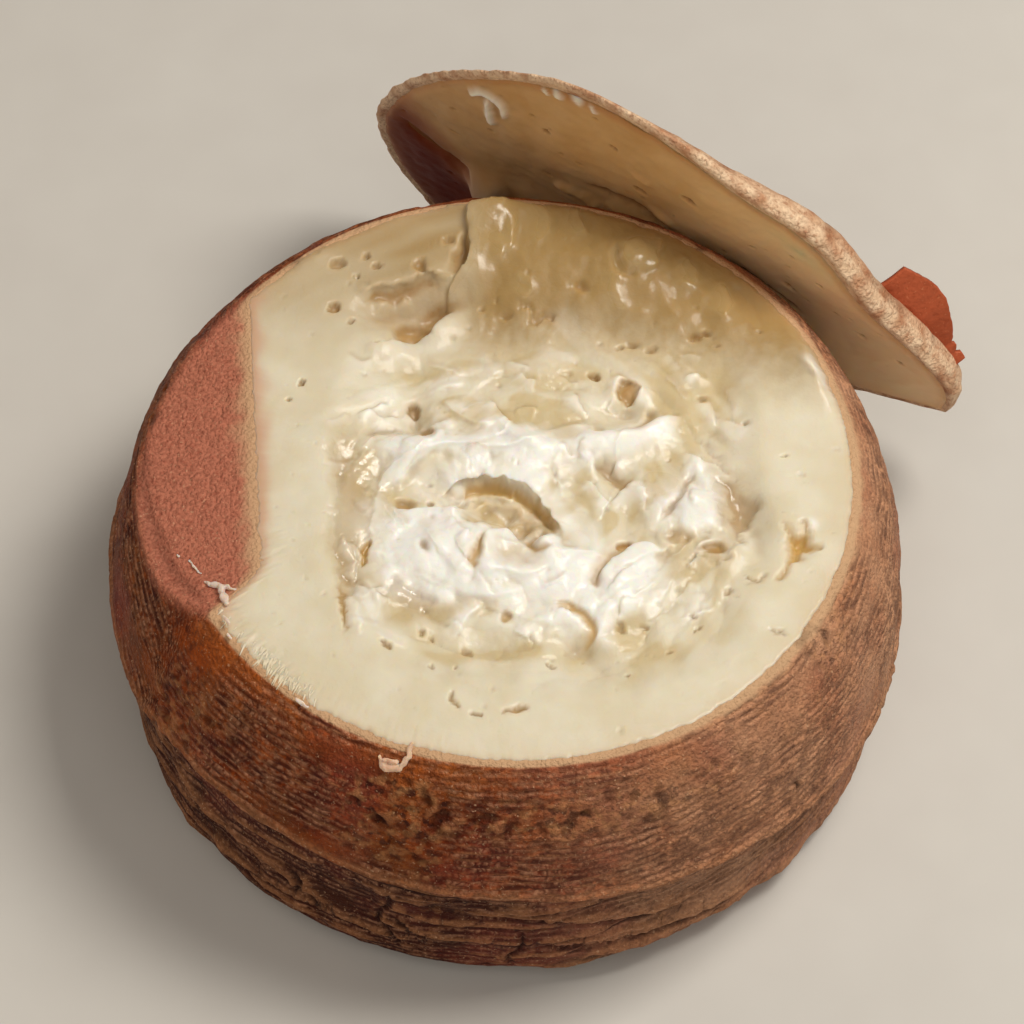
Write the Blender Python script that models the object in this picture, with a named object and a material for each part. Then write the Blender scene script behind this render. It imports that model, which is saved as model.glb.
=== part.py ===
"""A torta del Casar: a soft sheep's milk cheese whose top has been cut off. The wheel shows its creamy
paste, and the cut top stands behind it as a lid, on its foot, leaning against the wheel's shoulder.
Metres, +Z up. The origin is the middle of the wheel's flat bottom, and the view looks along +Y."""

import math

import bmesh
import bpy
from mathutils import Vector, noise

MM = 0.001

# The wheel: its side is a superellipse, widest low down, settled flat on its bottom.
WHEEL_RADIUS = 0.0720
WHEEL_HEIGHT = 0.0702
WIDEST_HEIGHT = 0.0138
TOP_POWER = 3.55
BOTTOM_POWER = 6.0
SETTLED = 0.0006

# The level cut that took the top off, and the flattened shoulder at its left.
CUT_HEIGHT = 0.0585
CUT_SLOPE_X = -0.015
CUT_SLOPE_Y = -0.010
SHOULDER_AZIMUTH = math.radians(185)
SHOULDER_DISTANCE = 0.0445
SHOULDER_SLOPE = 0.30
SHOULDER_END_Y = -0.0310
SHOULDER_END_SOFT = 0.0080
SHOULDER_END_LIFT = 0.0050
SHOULDER_ROUNDING = 0.0012

# The ledge that the binding left round the lower side: its height falls from the left to the right.
LEDGE_LEFT_HEIGHT = 0.0360
LEDGE_RIGHT_HEIGHT = 0.0150
LEDGE_HIGHEST_AZIMUTH = math.radians(-125)
LEDGE_STEP = 0.0013
LEDGE_WIDTH = 0.0022
LIP_HEIGHT = 0.0009
LIP_WIDTH = 0.0035

# Slow dents all over the side, and finer ones below the ledge. They fade out near the bottom and the cut.
DENT_DEPTH = 0.0007
DENT_SPACING = 0.0220
LOW_DENT_DEPTH = 0.00045
LOW_DENT_SPACING = 0.0090
DENTS_START_ABOVE_FOOT = 0.0080
DENTS_END_BELOW_CUT = 0.0060

# The lid: a cap of the wheel, placed by its foot, its lean and the way that it faces.
LID_RADIUS = 0.0605
LID_THICKNESS = 0.0105
LID_EDGE_RIGHT = 0.0042
LID_EDGE_LEFT = 0.0013
LID_BACK_POWER = 2.6
LID_THICK_SIDE = math.radians(-10)
LID_AZIMUTH = math.radians(60)
LID_LEAN = math.radians(14)
LID_FOOT_DISTANCE = 0.0802
LID_CENTRE_X = -0.0100
LID_CENTRE_UP = 0.0295
LID_TRIM_DISTANCE = 0.0289
LID_TRIM_ANGLE = math.radians(-66)
FLOOR_GAP = 0.0002

# The torn flap of rind that sticks out behind the lid's right end.
FLAP_LENGTH = 0.0250
FLAP_WIDTH = 0.0074
FLAP_THICKNESS = 0.0016
FLAP_RAGGED = 0.15
FLAP_CURL = 0.5
FLAP_START = Vector((0.0360, 0.0560, -0.0045))
FLAP_ALONG = Vector((0.583, -0.810, 0.040)).normalized()
FLAP_OUT = Vector((0.70, 0.50, -0.50)).normalized()

CLEARANCE = 0.0004

# How finely the pieces are divided: cells across the cut face, and rows down the side. The cut face's
# grid is even out to about this radius, whatever its rim does.
EVEN_RADIUS = 0.0540
WHEEL_CELLS = 36
WHEEL_ROWS_ABOVE = 11
WHEEL_ROWS_BELOW = 6
LID_CELLS = 22
FLAP_CELLS = (4, 9)

# Forms in the paste, in mm: rise, then the middle's x and y, half length, half width and turn in degrees.
PASTE_FORMS = {
    "white heap": (3.6, -2, -17, 19, 11, -8),
    "front bank": (1.8, 22, -24, 14, 8, 20),
    "fold across": (2.2, -9, 6, 22, 3.5, 2),
    "fold to the right": (1.8, 20, 9, 9, 3.5, 25),
    "central cavity": (-5.0, -1, -8, 11, 4.0, -26),
    "lump in the cavity": (2.2, 7, -16, 2.6, 2.6, 0),
    "front crescent": (-3.4, 12, -34, 7, 2.8, -48),
    "right lump": (2.8, 32, -6, 5, 4, 0),
    "lower right lump": (2.4, 37, -16, 5, 4, 30),
    "right hollow": (-3.0, 43, -9, 3.2, 8, 12),
    "star crack": (-3.0, 51.5, -16.5, 2.6, 3.8, -20),
    "upper left cavity": (-3.8, -17, 37, 10, 3.6, 18),
    "bubble": (-3.2, -18, 31, 3.0, 2.6, 0),
    "dark hole": (-3.0, -16.5, 12.5, 2.8, 2.8, 0),
    "round hole": (-3.4, 21, 16.5, 2.6, 2.6, 0),
    "pulled paste": (2.6, 16, 46, 26, 13, -24),
    "bubble dome": (1.4, 22, 48, 5, 5, 0),
    "peak at the back": (3.0, -3, 58, 7, 5, 0),
    "swelling at the lid": (3.2, 55, 24, 6, 8, 30),
    "peak at the left": (2.0, -38, 50, 4, 5, 40),
}

# The paste has sunk inside its firm ring, in mm. The hollow's floor is even out to the first share of its
# half width and length, and ends at the second.
HOLLOW_DEPTH = 3.4
HOLLOW_MIDDLE = (7.0, -1.0)
HOLLOW_HALF = (38.0, 46.0)
HOLLOW_EDGE = (0.78, 1.08)
PASTE_SWELL = 0.9
PASTE_SWELL_SPACING = 7.0

# Dabs of paste that stuck to the lid's face, in mm in the lid's own axes.
LID_FORMS = {
    "grey lump": (3.0, -46, 33, 4, 5, 0),
    "stuck ridge": (2.4, -11, 49, 12, 3.5, 8),
    "face swell": (0.8, -30, 62, 20, 14, 10),
}

# Where the lid's edge bulges or draws in: angle and half width in degrees, then outward and forward in mm.
LID_LOBES = (
    (3, 11, 4.0, -0.4),
    (33, 14, -2.8, 1.3),
    (66, 12, -1.5, 0.8),
    (102, 16, 1.8, -1.1),
    (170, 14, 1.5, 0.0),
    (-160, 10, -3.5, 0.4),
)
LID_SWELL = 0.0005
LID_SWELL_SPACING = 0.0140
LID_TRIM_RAGGED = 0.0008


def clear_scene():
    for obj in list(bpy.data.objects):
        bpy.data.objects.remove(obj, do_unlink=True)


def smooth(low, high, value):
    """0 below low and 1 above high, with a soft passage between."""
    t = min(max((value - low) / (high - low), 0.0), 1.0)
    return t * t * (3 - 2 * t)


def form(x, y, rise, middle_x, middle_y, half_length, half_width, turn):
    """The height at x, y of one soft mound, or hollow where rise is negative, all in mm."""
    angle = math.radians(turn)
    along = (x - middle_x) * math.cos(angle) + (y - middle_y) * math.sin(angle)
    across = (y - middle_y) * math.cos(angle) - (x - middle_x) * math.sin(angle)
    return rise * math.exp(-((along / half_length) ** 2) - (across / half_width) ** 2)


def cut_height(x, y):
    return CUT_HEIGHT + CUT_SLOPE_X * x + CUT_SLOPE_Y * y


def soft_lower(a, b, rounding):
    """The lower of two heights, rounded where they cross."""
    blend = min(max(0.5 + 0.5 * (b - a) / rounding, 0.0), 1.0)
    return b + (a - b) * blend - rounding * blend * (1 - blend)


def side_point(angle, azimuth):
    """A point of the uncut wheel: angle runs from a right angle at the top, by 0 where it is widest."""
    up = angle >= 0
    power = TOP_POWER if up else BOTTOM_POWER
    radius = WHEEL_RADIUS * math.cos(angle) ** (2 / power)
    reach = WHEEL_HEIGHT - WIDEST_HEIGHT if up else -(WIDEST_HEIGHT + SETTLED)
    z = WIDEST_HEIGHT + reach * abs(math.sin(angle)) ** (2 / power)
    x = radius * math.cos(azimuth)
    y = radius * math.sin(azimuth)
    beyond = x * math.cos(SHOULDER_AZIMUTH) + y * math.sin(SHOULDER_AZIMUTH) - SHOULDER_DISTANCE
    ended = smooth(-SHOULDER_END_SOFT, SHOULDER_END_SOFT, SHOULDER_END_Y - y)
    shoulder = cut_height(x, y) - SHOULDER_SLOPE * beyond + SHOULDER_END_LIFT * ended
    return Vector((x, y, soft_lower(z, shoulder, SHOULDER_ROUNDING) if up else z))


def rim_angle(azimuth):
    """The side's angle at which the cut meets it, found by halving."""
    low, high = 0.0, math.pi / 2
    for _ in range(30):
        middle = (low + high) / 2
        point = side_point(middle, azimuth)
        if point.z > cut_height(point.x, point.y):
            high = middle
        else:
            low = middle
    return low


def foot_angle():
    """The side's angle at which it reaches the bottom."""
    return -math.asin((WIDEST_HEIGHT / (WIDEST_HEIGHT + SETTLED)) ** (BOTTOM_POWER / 2))


def paste_relief(x, y):
    """How far the soft paste stands above the level cut."""
    x, y = x / MM, y / MM
    across = (x - HOLLOW_MIDDLE[0]) / HOLLOW_HALF[0]
    along = (y - HOLLOW_MIDDLE[1]) / HOLLOW_HALF[1]
    inside = 1 - smooth(*HOLLOW_EDGE, (across**4 + along**4) ** 0.25)
    swell = PASTE_SWELL * noise.noise(Vector((x, y, 0)) / PASTE_SWELL_SPACING)
    height = (swell - HOLLOW_DEPTH) * inside
    height += sum(form(x, y, *values) for values in PASTE_FORMS.values())
    return height * MM


def ledge_height(azimuth):
    """The ledge is highest at the front left and sinks towards the right."""
    turn = (1 + math.cos(azimuth - LEDGE_HIGHEST_AZIMUTH)) / 2
    return LEDGE_RIGHT_HEIGHT + (LEDGE_LEFT_HEIGHT - LEDGE_RIGHT_HEIGHT) * turn


def rind_relief(point, azimuth):
    """How far the rind stands out: a lip at the ledge, a step in below it, and slow dents and folds."""
    above_ledge = point.z - ledge_height(azimuth)
    below = smooth(-LEDGE_WIDTH, LEDGE_WIDTH, -above_ledge)
    lip = LIP_HEIGHT * math.exp(-((above_ledge / LIP_WIDTH) ** 2))
    dents = DENT_DEPTH * noise.noise(point / DENT_SPACING)
    dents += LOW_DENT_DEPTH * noise.noise(point / LOW_DENT_SPACING) * below
    free = smooth(0, DENTS_START_ABOVE_FOOT, point.z)
    free *= smooth(0, DENTS_END_BELOW_CUT, cut_height(point.x, point.y) - point.z)
    return (lip - below * LEDGE_STEP + dents) * free


def round_grid(cells):
    """A square grid bent into a disc of radius 1, as a bmesh, with its rim as an ordered loop."""
    mesh = bmesh.new()
    bmesh.ops.create_grid(mesh, x_segments=cells, y_segments=cells, size=1.0)
    for vertex in mesh.verts:
        x, y = vertex.co.x, vertex.co.y
        vertex.co.x = x * math.sqrt(1 - y * y / 2)
        vertex.co.y = y * math.sqrt(1 - x * x / 2)
    rim = [vertex for vertex in mesh.verts if vertex.is_boundary]
    rim.sort(key=lambda vertex: math.atan2(vertex.co.y, vertex.co.x))
    return mesh, rim


def add_row(mesh, above, places, material):
    """One more row of faces below the loop above, to a new loop at places."""
    below = [mesh.verts.new(place) for place in places]
    count = len(above)
    for i in range(count):
        j = (i + 1) % count
        face = mesh.faces.new((above[i], below[i], below[j], above[j]))
        face.material_index = material
    return below


def new_object(name, mesh, materials):
    bmesh.ops.recalc_face_normals(mesh, faces=mesh.faces)
    data = bpy.data.meshes.new(name)
    mesh.to_mesh(data)
    mesh.free()
    for material in materials:
        data.materials.append(material)
    obj = bpy.data.objects.new(name, data)
    bpy.context.collection.objects.link(obj)
    data.shade_smooth()
    data.set_sharp_from_angle(angle=math.radians(40))
    return obj


def new_material(name, colour, roughness):
    material = bpy.data.materials.new(name)
    material.use_nodes = True
    shader = material.node_tree.nodes["Principled BSDF"]
    shader.inputs["Base Color"].default_value = (*colour, 1.0)
    shader.inputs["Roughness"].default_value = roughness
    shader.inputs["Metallic"].default_value = 0.0
    return material


def make_wheel(paste, rind):
    """The wheel: the cut face with the soft paste's forms, then the side row by row, then the bottom."""
    mesh, rim = round_grid(WHEEL_CELLS)
    azimuths = [math.atan2(vertex.co.y, vertex.co.x) for vertex in rim]
    rims = {vertex: side_point(rim_angle(azimuth), azimuth) for vertex, azimuth in zip(rim, azimuths)}
    for vertex in mesh.verts:
        azimuth = math.atan2(vertex.co.y, vertex.co.x)
        edge = rims.get(vertex) or side_point(rim_angle(azimuth), azimuth)
        share = vertex.co.xy.length
        reach = EVEN_RADIUS + (edge.xy.length - EVEN_RADIUS) * share * share
        x, y = (share * reach * value for value in (math.cos(azimuth), math.sin(azimuth)))
        vertex.co = (x, y, cut_height(x, y) + paste_relief(x, y))
    loop = rim
    starts = [rim_angle(azimuth) for azimuth in azimuths]
    for row in range(1, WHEEL_ROWS_ABOVE + WHEEL_ROWS_BELOW + 1):
        places = []
        for start, azimuth in zip(starts, azimuths):
            if row <= WHEEL_ROWS_ABOVE:
                angle = start * (1 - row / WHEEL_ROWS_ABOVE)
            else:
                angle = foot_angle() * (row - WHEEL_ROWS_ABOVE) / WHEEL_ROWS_BELOW
            point = side_point(angle, azimuth)
            out = Vector((math.cos(azimuth), math.sin(azimuth), 0))
            places.append(point + out * rind_relief(point, azimuth))
        if row == WHEEL_ROWS_ABOVE + WHEEL_ROWS_BELOW:
            for place in places:
                place.z = 0.0
        loop = add_row(mesh, loop, places, 1)
    mesh.faces.new(loop).material_index = 1
    return new_object("cheese_wheel", mesh, (paste, rind))


def lid_lobes(angle):
    """How far the lid's edge is out of round at an angle: outward, and forward out of its plane."""
    outward, forward = 0.0, 0.0
    for middle, width, out_by, forward_by in LID_LOBES:
        off = (math.degrees(angle) - middle + 180) % 360 - 180
        share = math.exp(-((off / width) ** 2))
        outward += out_by * MM * share
        forward += forward_by * MM * share
    return outward, forward


def lid_radius(angle):
    """The lid's outline from its middle, trimmed by the ragged lower right edge."""
    radius = LID_RADIUS + lid_lobes(angle)[0]
    towards = math.cos(angle - LID_TRIM_ANGLE)
    if towards > 0.05:
        ragged = LID_TRIM_RAGGED * noise.noise(Vector((math.degrees(angle) / 5, 3.7, 0)))
        radius = min(radius, (LID_TRIM_DISTANCE + ragged) / towards)
    return radius


def lid_point(x, y):
    """The disc's x and y stretched to the lid's outline, with how far the lid is bent forward there."""
    angle, share = math.atan2(y, x), math.hypot(x, y)
    radius = lid_radius(angle) * share
    across = LID_CENTRE_X + radius * math.cos(angle)
    up = LID_CENTRE_UP + radius * math.sin(angle)
    return Vector((across, up, lid_lobes(angle)[1] * share * share))


def lid_depth(x, y):
    """How far the back lies behind the face: thick and domed at one side, and thin all along the other,
    where the cut ran out through the shoulder."""
    share, angle = math.hypot(x, y), math.atan2(y, x)
    thick = smooth(-0.3, 0.8, math.cos(angle - LID_THICK_SIDE)) * smooth(0.0, 0.3, share)
    edge = LID_EDGE_LEFT + (LID_EDGE_RIGHT - LID_EDGE_LEFT) * thick
    steep = max(1 - share**LID_BACK_POWER, 0.0) ** (1 / LID_BACK_POWER)
    flat = 1 - share * share
    dome = flat + (steep - flat) * thick
    dents = LID_SWELL * noise.noise(Vector((x, y, 0)) * LID_RADIUS / LID_SWELL_SPACING)
    return edge + (LID_THICKNESS - edge) * dome + dents * smooth(0, 0.2, 1 - share)


def lid_relief(x, y):
    height = sum(form(x / MM, y / MM, *values) for values in LID_FORMS.values())
    return height * MM + LID_SWELL * noise.noise(Vector((x, y, 0)) / LID_SWELL_SPACING)


def lid_front(x, y):
    place = lid_point(x, y)
    return place + Vector((0, 0, lid_relief(place.x, place.y)))


def lid_back(x, y):
    return lid_point(x, y) - Vector((0, 0, lid_depth(x, y)))


def flap_point(x, y):
    """A point of the flap's inner side: y runs along the lid's edge and x out from it, both from -1 to 1."""
    along, out = (1 - y) / 2, (x + 1) / 2
    belly = (1 + math.sin(math.pi * min(along + 0.15, 1.0))) / 2
    ragged = FLAP_RAGGED * noise.noise(Vector((9 * along, 1.5, 0)))
    width = FLAP_WIDTH * (belly + ragged) * out
    curl = Vector((0, 0, -FLAP_CURL * width * out))
    return FLAP_START + FLAP_ALONG * FLAP_LENGTH * along + FLAP_OUT * width + curl


def flap_back(x, y):
    return flap_point(x, y) - Vector((0, 0, FLAP_THICKNESS))


def two_sided(mesh, front, back):
    """Closes a flat grid into a solid: itself placed by front, a copy by back, bridged round the rim."""
    face = list(mesh.verts)
    flat = [(vertex.co.x, vertex.co.y) for vertex in face]
    everything = mesh.verts[:] + mesh.edges[:] + mesh.faces[:]
    copied = bmesh.ops.duplicate(mesh, geom=everything)["geom"]
    for item in copied:
        if isinstance(item, bmesh.types.BMVert):
            item.co = back(item.co.x, item.co.y)
        elif isinstance(item, bmesh.types.BMFace):
            item.material_index = 1
    for vertex, place in zip(face, flat):
        vertex.co = front(*place)
    rim = [edge for edge in mesh.edges if edge.is_boundary]
    for side in bmesh.ops.bridge_loops(mesh, edges=rim)["faces"]:
        side.material_index = 1
    return mesh


def stand_on_floor(mesh):
    """Cuts the lid's lower part off level with the floor, in the lid's own leaning axes."""
    up = Vector((0, math.cos(LID_LEAN), -math.sin(LID_LEAN)))
    everything = mesh.verts[:] + mesh.edges[:] + mesh.faces[:]
    bmesh.ops.bisect_plane(mesh, geom=everything, plane_co=up * FLOOR_GAP, plane_no=up, clear_inner=True)
    rim = [edge for edge in mesh.edges if edge.is_boundary]
    bmesh.ops.holes_fill(mesh, edges=rim, sides=0)
    return mesh


def worked_in(obj):
    """Turns the object's modifiers into its mesh."""
    bpy.context.view_layer.update()
    graph = bpy.context.evaluated_depsgraph_get()
    data = bpy.data.meshes.new_from_object(obj.evaluated_get(graph))
    obj.modifiers.clear()
    obj.data = data


def add_boolean(obj, operation, operand):
    modifier = obj.modifiers.new(operation.title(), "BOOLEAN")
    modifier.operation = operation
    modifier.object = operand
    modifier.solver = "EXACT"


def make_clearance(wheel):
    """The wheel grown a little all over, which hollows the lid where it leans on it."""
    mesh = bmesh.new()
    mesh.from_mesh(wheel.data)
    mesh.normal_update()
    for vertex in mesh.verts:
        vertex.co += vertex.normal * CLEARANCE
    cutter = new_object("wheel_clearance", mesh, ())
    cutter.hide_render = True
    cutter.display_type = "WIRE"
    return cutter


def make_lid(paste, rind, clearance):
    """The lid: its cut face and domed back, with the flap fused on, set on its foot behind the wheel."""
    lid_mesh = two_sided(round_grid(LID_CELLS)[0], lid_front, lid_back)
    lid = new_object("cut_lid", stand_on_floor(lid_mesh), (paste, rind))
    flap_mesh = bmesh.new()
    bmesh.ops.create_grid(flap_mesh, x_segments=FLAP_CELLS[0], y_segments=FLAP_CELLS[1], size=1.0)
    flap = new_object("flap", two_sided(flap_mesh, flap_point, flap_back), (rind, rind))
    add_boolean(lid, "UNION", flap)
    worked_in(lid)
    bpy.data.objects.remove(flap, do_unlink=True)
    out = Vector((math.cos(LID_AZIMUTH), math.sin(LID_AZIMUTH), 0))
    lid.location = out * LID_FOOT_DISTANCE
    lid.rotation_euler = (math.pi / 2 + LID_LEAN, 0, LID_AZIMUTH - math.pi / 2)
    add_boolean(lid, "DIFFERENCE", clearance)
    return lid


clear_scene()
paste = new_material("paste", (0.72, 0.60, 0.40), 0.35)
rind = new_material("rind", (0.30, 0.13, 0.07), 0.65)
wheel = make_wheel(paste, rind)
make_lid(paste, rind, make_clearance(wheel))
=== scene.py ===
# %% [markdown]
# # A torta del Casar with its top cut off
# The wheel is a soft sheep's milk cheese in a firm rind. Its top was sliced off, and now leans on the wheel's
# shoulder as a lid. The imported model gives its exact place, so it is loaded first and nothing in it is moved.

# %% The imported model
import itertools
import math

import bpy
import numpy as np
from mathutils import Euler, Matrix, Vector, noise


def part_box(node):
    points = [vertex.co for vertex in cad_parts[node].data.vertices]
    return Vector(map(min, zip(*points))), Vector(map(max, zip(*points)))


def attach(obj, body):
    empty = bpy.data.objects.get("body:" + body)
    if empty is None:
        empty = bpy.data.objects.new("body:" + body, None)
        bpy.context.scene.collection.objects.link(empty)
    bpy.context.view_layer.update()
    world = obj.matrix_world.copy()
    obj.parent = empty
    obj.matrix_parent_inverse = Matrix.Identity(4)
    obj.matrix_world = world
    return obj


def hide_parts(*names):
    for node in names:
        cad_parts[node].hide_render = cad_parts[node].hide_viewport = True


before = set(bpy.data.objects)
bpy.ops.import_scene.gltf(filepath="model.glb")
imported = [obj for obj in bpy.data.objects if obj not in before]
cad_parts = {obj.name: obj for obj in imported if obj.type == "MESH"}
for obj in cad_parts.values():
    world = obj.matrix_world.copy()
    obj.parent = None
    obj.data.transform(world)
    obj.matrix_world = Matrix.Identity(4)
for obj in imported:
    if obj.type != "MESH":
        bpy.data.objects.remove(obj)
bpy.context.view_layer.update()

for name in ("cheese_wheel", "cut_lid"):
    low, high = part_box(name)
    print(name, "is", [round((b - a) * 1000, 1) for a, b in zip(low, high)], "mm")

# %% [markdown]
# ## Millimetres
# Cheese is judged by the millimetre: a pore is half of one, a fold is five. So every size below is in
# millimetres, and turns into Blender's metres only when a piece's points are placed.

# %% Millimetres
MM = 0.001


def read_points(piece):
    """The points as the mesh holds them, a row for each."""
    places = np.empty(len(piece.data.vertices) * 3, dtype=np.float32)
    piece.data.vertices.foreach_get("co", places)
    return places.reshape(-1, 3).astype(float)


def place_points(piece, places):
    """Sets the points from places in mm."""
    piece.data.vertices.foreach_set("co", (places * MM).astype(np.float32).ravel())
    piece.data.update()


def paint(piece, marks):
    """Keeps each named mark, from 0 to 1 at every point, for the material, which reads a missing one as 0."""
    for name, values in marks.items():
        layer = piece.data.attributes.new(name, "FLOAT", "POINT")
        layer.data.foreach_set("value", np.clip(values, 0, 1).astype(np.float32))


# %% [markdown]
# ## The wheel's form
# An uncut torta is a drum with a soft shoulder, widest low down, because it sags under its own weight. A
# superellipse draws that in one line. It would reach SETTLED below the table, and ends at the table instead,
# which makes the flat bottom. These are the sizes of the solid that the looks stand for, so the rind and the
# paste start from exactly that form.

# %% Sizes of the wheel
WHEEL_RADIUS = 72.0
WHEEL_HEIGHT = 70.2
WIDEST_HEIGHT = 13.8
TOP_POWER = 3.55
BOTTOM_POWER = 6.0
SETTLED = 0.6
CUT_HEIGHT = 58.5
CUT_SLOPE_X = -0.015
CUT_SLOPE_Y = -0.010
SHOULDER_AZIMUTH = math.radians(185)
SHOULDER_DISTANCE = 44.5
SHOULDER_SLOPE = 0.30
SHOULDER_END_Y = -31.0
SHOULDER_END_SOFT = 11.0
SHOULDER_END_LIFT = 5.0
SHOULDER_ROUNDING = 1.2


def smooth(low, high, value):
    """0 below low and 1 above high, with a soft passage between. With the two swapped it falls."""
    share = np.clip((value - low) / (high - low), 0, 1)
    return share * share * (3 - 2 * share)


def cut_height(x, y):
    return CUT_HEIGHT + CUT_SLOPE_X * x + CUT_SLOPE_Y * y


def side_place(angle, azimuth):
    """Points of the uncut wheel, and how far each lies on the flattened shoulder, from 0 to 1."""
    up = angle >= 0
    power = np.where(up, TOP_POWER, BOTTOM_POWER)
    radius = WHEEL_RADIUS * np.cos(angle) ** (2 / power)
    reach = np.where(up, WHEEL_HEIGHT - WIDEST_HEIGHT, -(WIDEST_HEIGHT + SETTLED))
    z = WIDEST_HEIGHT + reach * np.abs(np.sin(angle)) ** (2 / power)
    x, y = radius * np.cos(azimuth), radius * np.sin(azimuth)
    beyond = x * math.cos(SHOULDER_AZIMUTH) + y * math.sin(SHOULDER_AZIMUTH) - SHOULDER_DISTANCE
    ended = smooth(-SHOULDER_END_SOFT, SHOULDER_END_SOFT, SHOULDER_END_Y - y)
    shoulder = cut_height(x, y) - SHOULDER_SLOPE * beyond + SHOULDER_END_LIFT * ended
    blend = np.clip(0.5 + 0.5 * (shoulder - z) / SHOULDER_ROUNDING, 0, 1)
    lower = shoulder + (z - shoulder) * blend - SHOULDER_ROUNDING * blend * (1 - blend)
    return np.stack((x, y, np.where(up, lower, z)), axis=-1), np.where(up, 1 - blend, 0.0)


def angle_where(azimuth, too_high):
    """The side's angle at each azimuth up to which too_high says no, found by halving."""
    low, high = np.zeros_like(azimuth), np.full_like(azimuth, math.pi / 2)
    for _ in range(30):
        middle = (low + high) / 2
        above = too_high(side_place(middle, azimuth)[0])
        low, high = np.where(above, low, middle), np.where(above, middle, high)
    return low


def rim_angle(azimuth):
    return angle_where(azimuth, lambda place: place[..., 2] > cut_height(place[..., 0], place[..., 1]))


def rim_radius(azimuth):
    place = side_place(rim_angle(azimuth), azimuth)[0]
    return np.hypot(place[..., 0], place[..., 1])


def outwards(azimuth):
    """The level way out from the wheel's middle at each azimuth."""
    return np.stack((np.cos(azimuth), np.sin(azimuth), np.zeros_like(azimuth)), axis=1)


around = np.radians(np.arange(0, 360, 45.0))
print("the cut rim lies", rim_radius(around).round(1), "mm from the middle, every 45 degrees")

# %% [markdown]
# ## Noise
# Nothing on a cheese is regular. Soft noise is a field of rounded rises and hollows: random slopes sit on a
# grid, and the values between them are blended. It is worked out for all points of a piece at once, and from
# places in space, so that it runs on over a seam with no jump.

# %% Soft noise
SLOPE_COUNT = 4096
HASH_PRIMES = (73856093, 19349663, 83492791)


def soft_noise(space, spacing, seed):
    """Rounded rises and hollows, from about -1 to 1, that are about spacing apart."""
    slopes = np.random.default_rng(seed).normal(size=(SLOPE_COUNT, 3))
    slopes /= np.linalg.norm(slopes, axis=1)[:, None]
    cells = space / spacing
    corner = np.floor(cells).astype(np.int64)
    inside = cells - corner
    fade = inside**3 * (inside * (inside * 6 - 15) + 10)
    total = np.zeros(len(space))
    for step in itertools.product((0, 1), repeat=3):
        key = np.zeros(len(space), dtype=np.int64)
        for axis, prime in enumerate(HASH_PRIMES):
            key ^= (corner[:, axis] + step[axis]) * prime
        weight = np.prod(np.where(step, fade, 1 - fade), axis=1)
        total += weight * ((inside - step) * slopes[key % SLOPE_COUNT]).sum(axis=1)
    return total * 1.6


# %% [markdown]
# ## Working the surface
# The paste was scooped and smeared with a knife, so it is worked here the same way, stroke by stroke. A dense
# flat grid is the clay. A stroke follows a smooth path, with one steep side and one gentle side, and may lean
# over its steep side as a curl of soft paste does. A dab is a single mound, or a pit where its rise is below
# zero. Each can also leave a mark, such as how creamy or how wet the paste is there, for the material.

# %% Strokes and dabs
PATH_STEPS = 8
TAPERED_END = 0.22


def smooth_path(points):
    """A smooth curve through a few points (Catmull-Rom)."""
    points = np.array(points, dtype=float)
    points = np.vstack((2 * points[0] - points[1], points, 2 * points[-1] - points[-2]))
    curve = []
    for before, start, end, after in zip(points, points[1:], points[2:], points[3:]):
        for share in np.arange(PATH_STEPS) / PATH_STEPS:
            bend = (2 * before - 5 * start + 4 * end - after) * share**2
            bend += (3 * start - before - 3 * end + after) * share**3
            curve.append(start + ((end - before) * share + bend) / 2)
    curve.append(points[-2])
    return np.array(curve)


def beside(curve, flat):
    """Each place's distance from the curve, plus on its left, the share along it, and which way is left."""
    best = np.full(len(flat), np.inf)
    signed, along = np.zeros(len(flat)), np.zeros(len(flat))
    leftward = np.zeros((len(flat), 2))
    for index, (start, end) in enumerate(zip(curve, curve[1:])):
        step = end - start
        share = np.clip((flat - start) @ step / (step @ step), 0, 1)
        gap = flat - start - share[:, None] * step
        distance = np.hypot(gap[:, 0], gap[:, 1])
        nearer = distance < best
        side = np.where(step[0] * gap[:, 1] - step[1] * gap[:, 0] > 0, 1.0, -1.0)
        best[nearer] = distance[nearer]
        signed[nearer] = (side * distance)[nearer]
        along[nearer] = (index + share[nearer]) / (len(curve) - 1)
        leftward[nearer] = np.array((-step[1], step[0])) / np.hypot(*step)
    return signed, along, leftward


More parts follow.
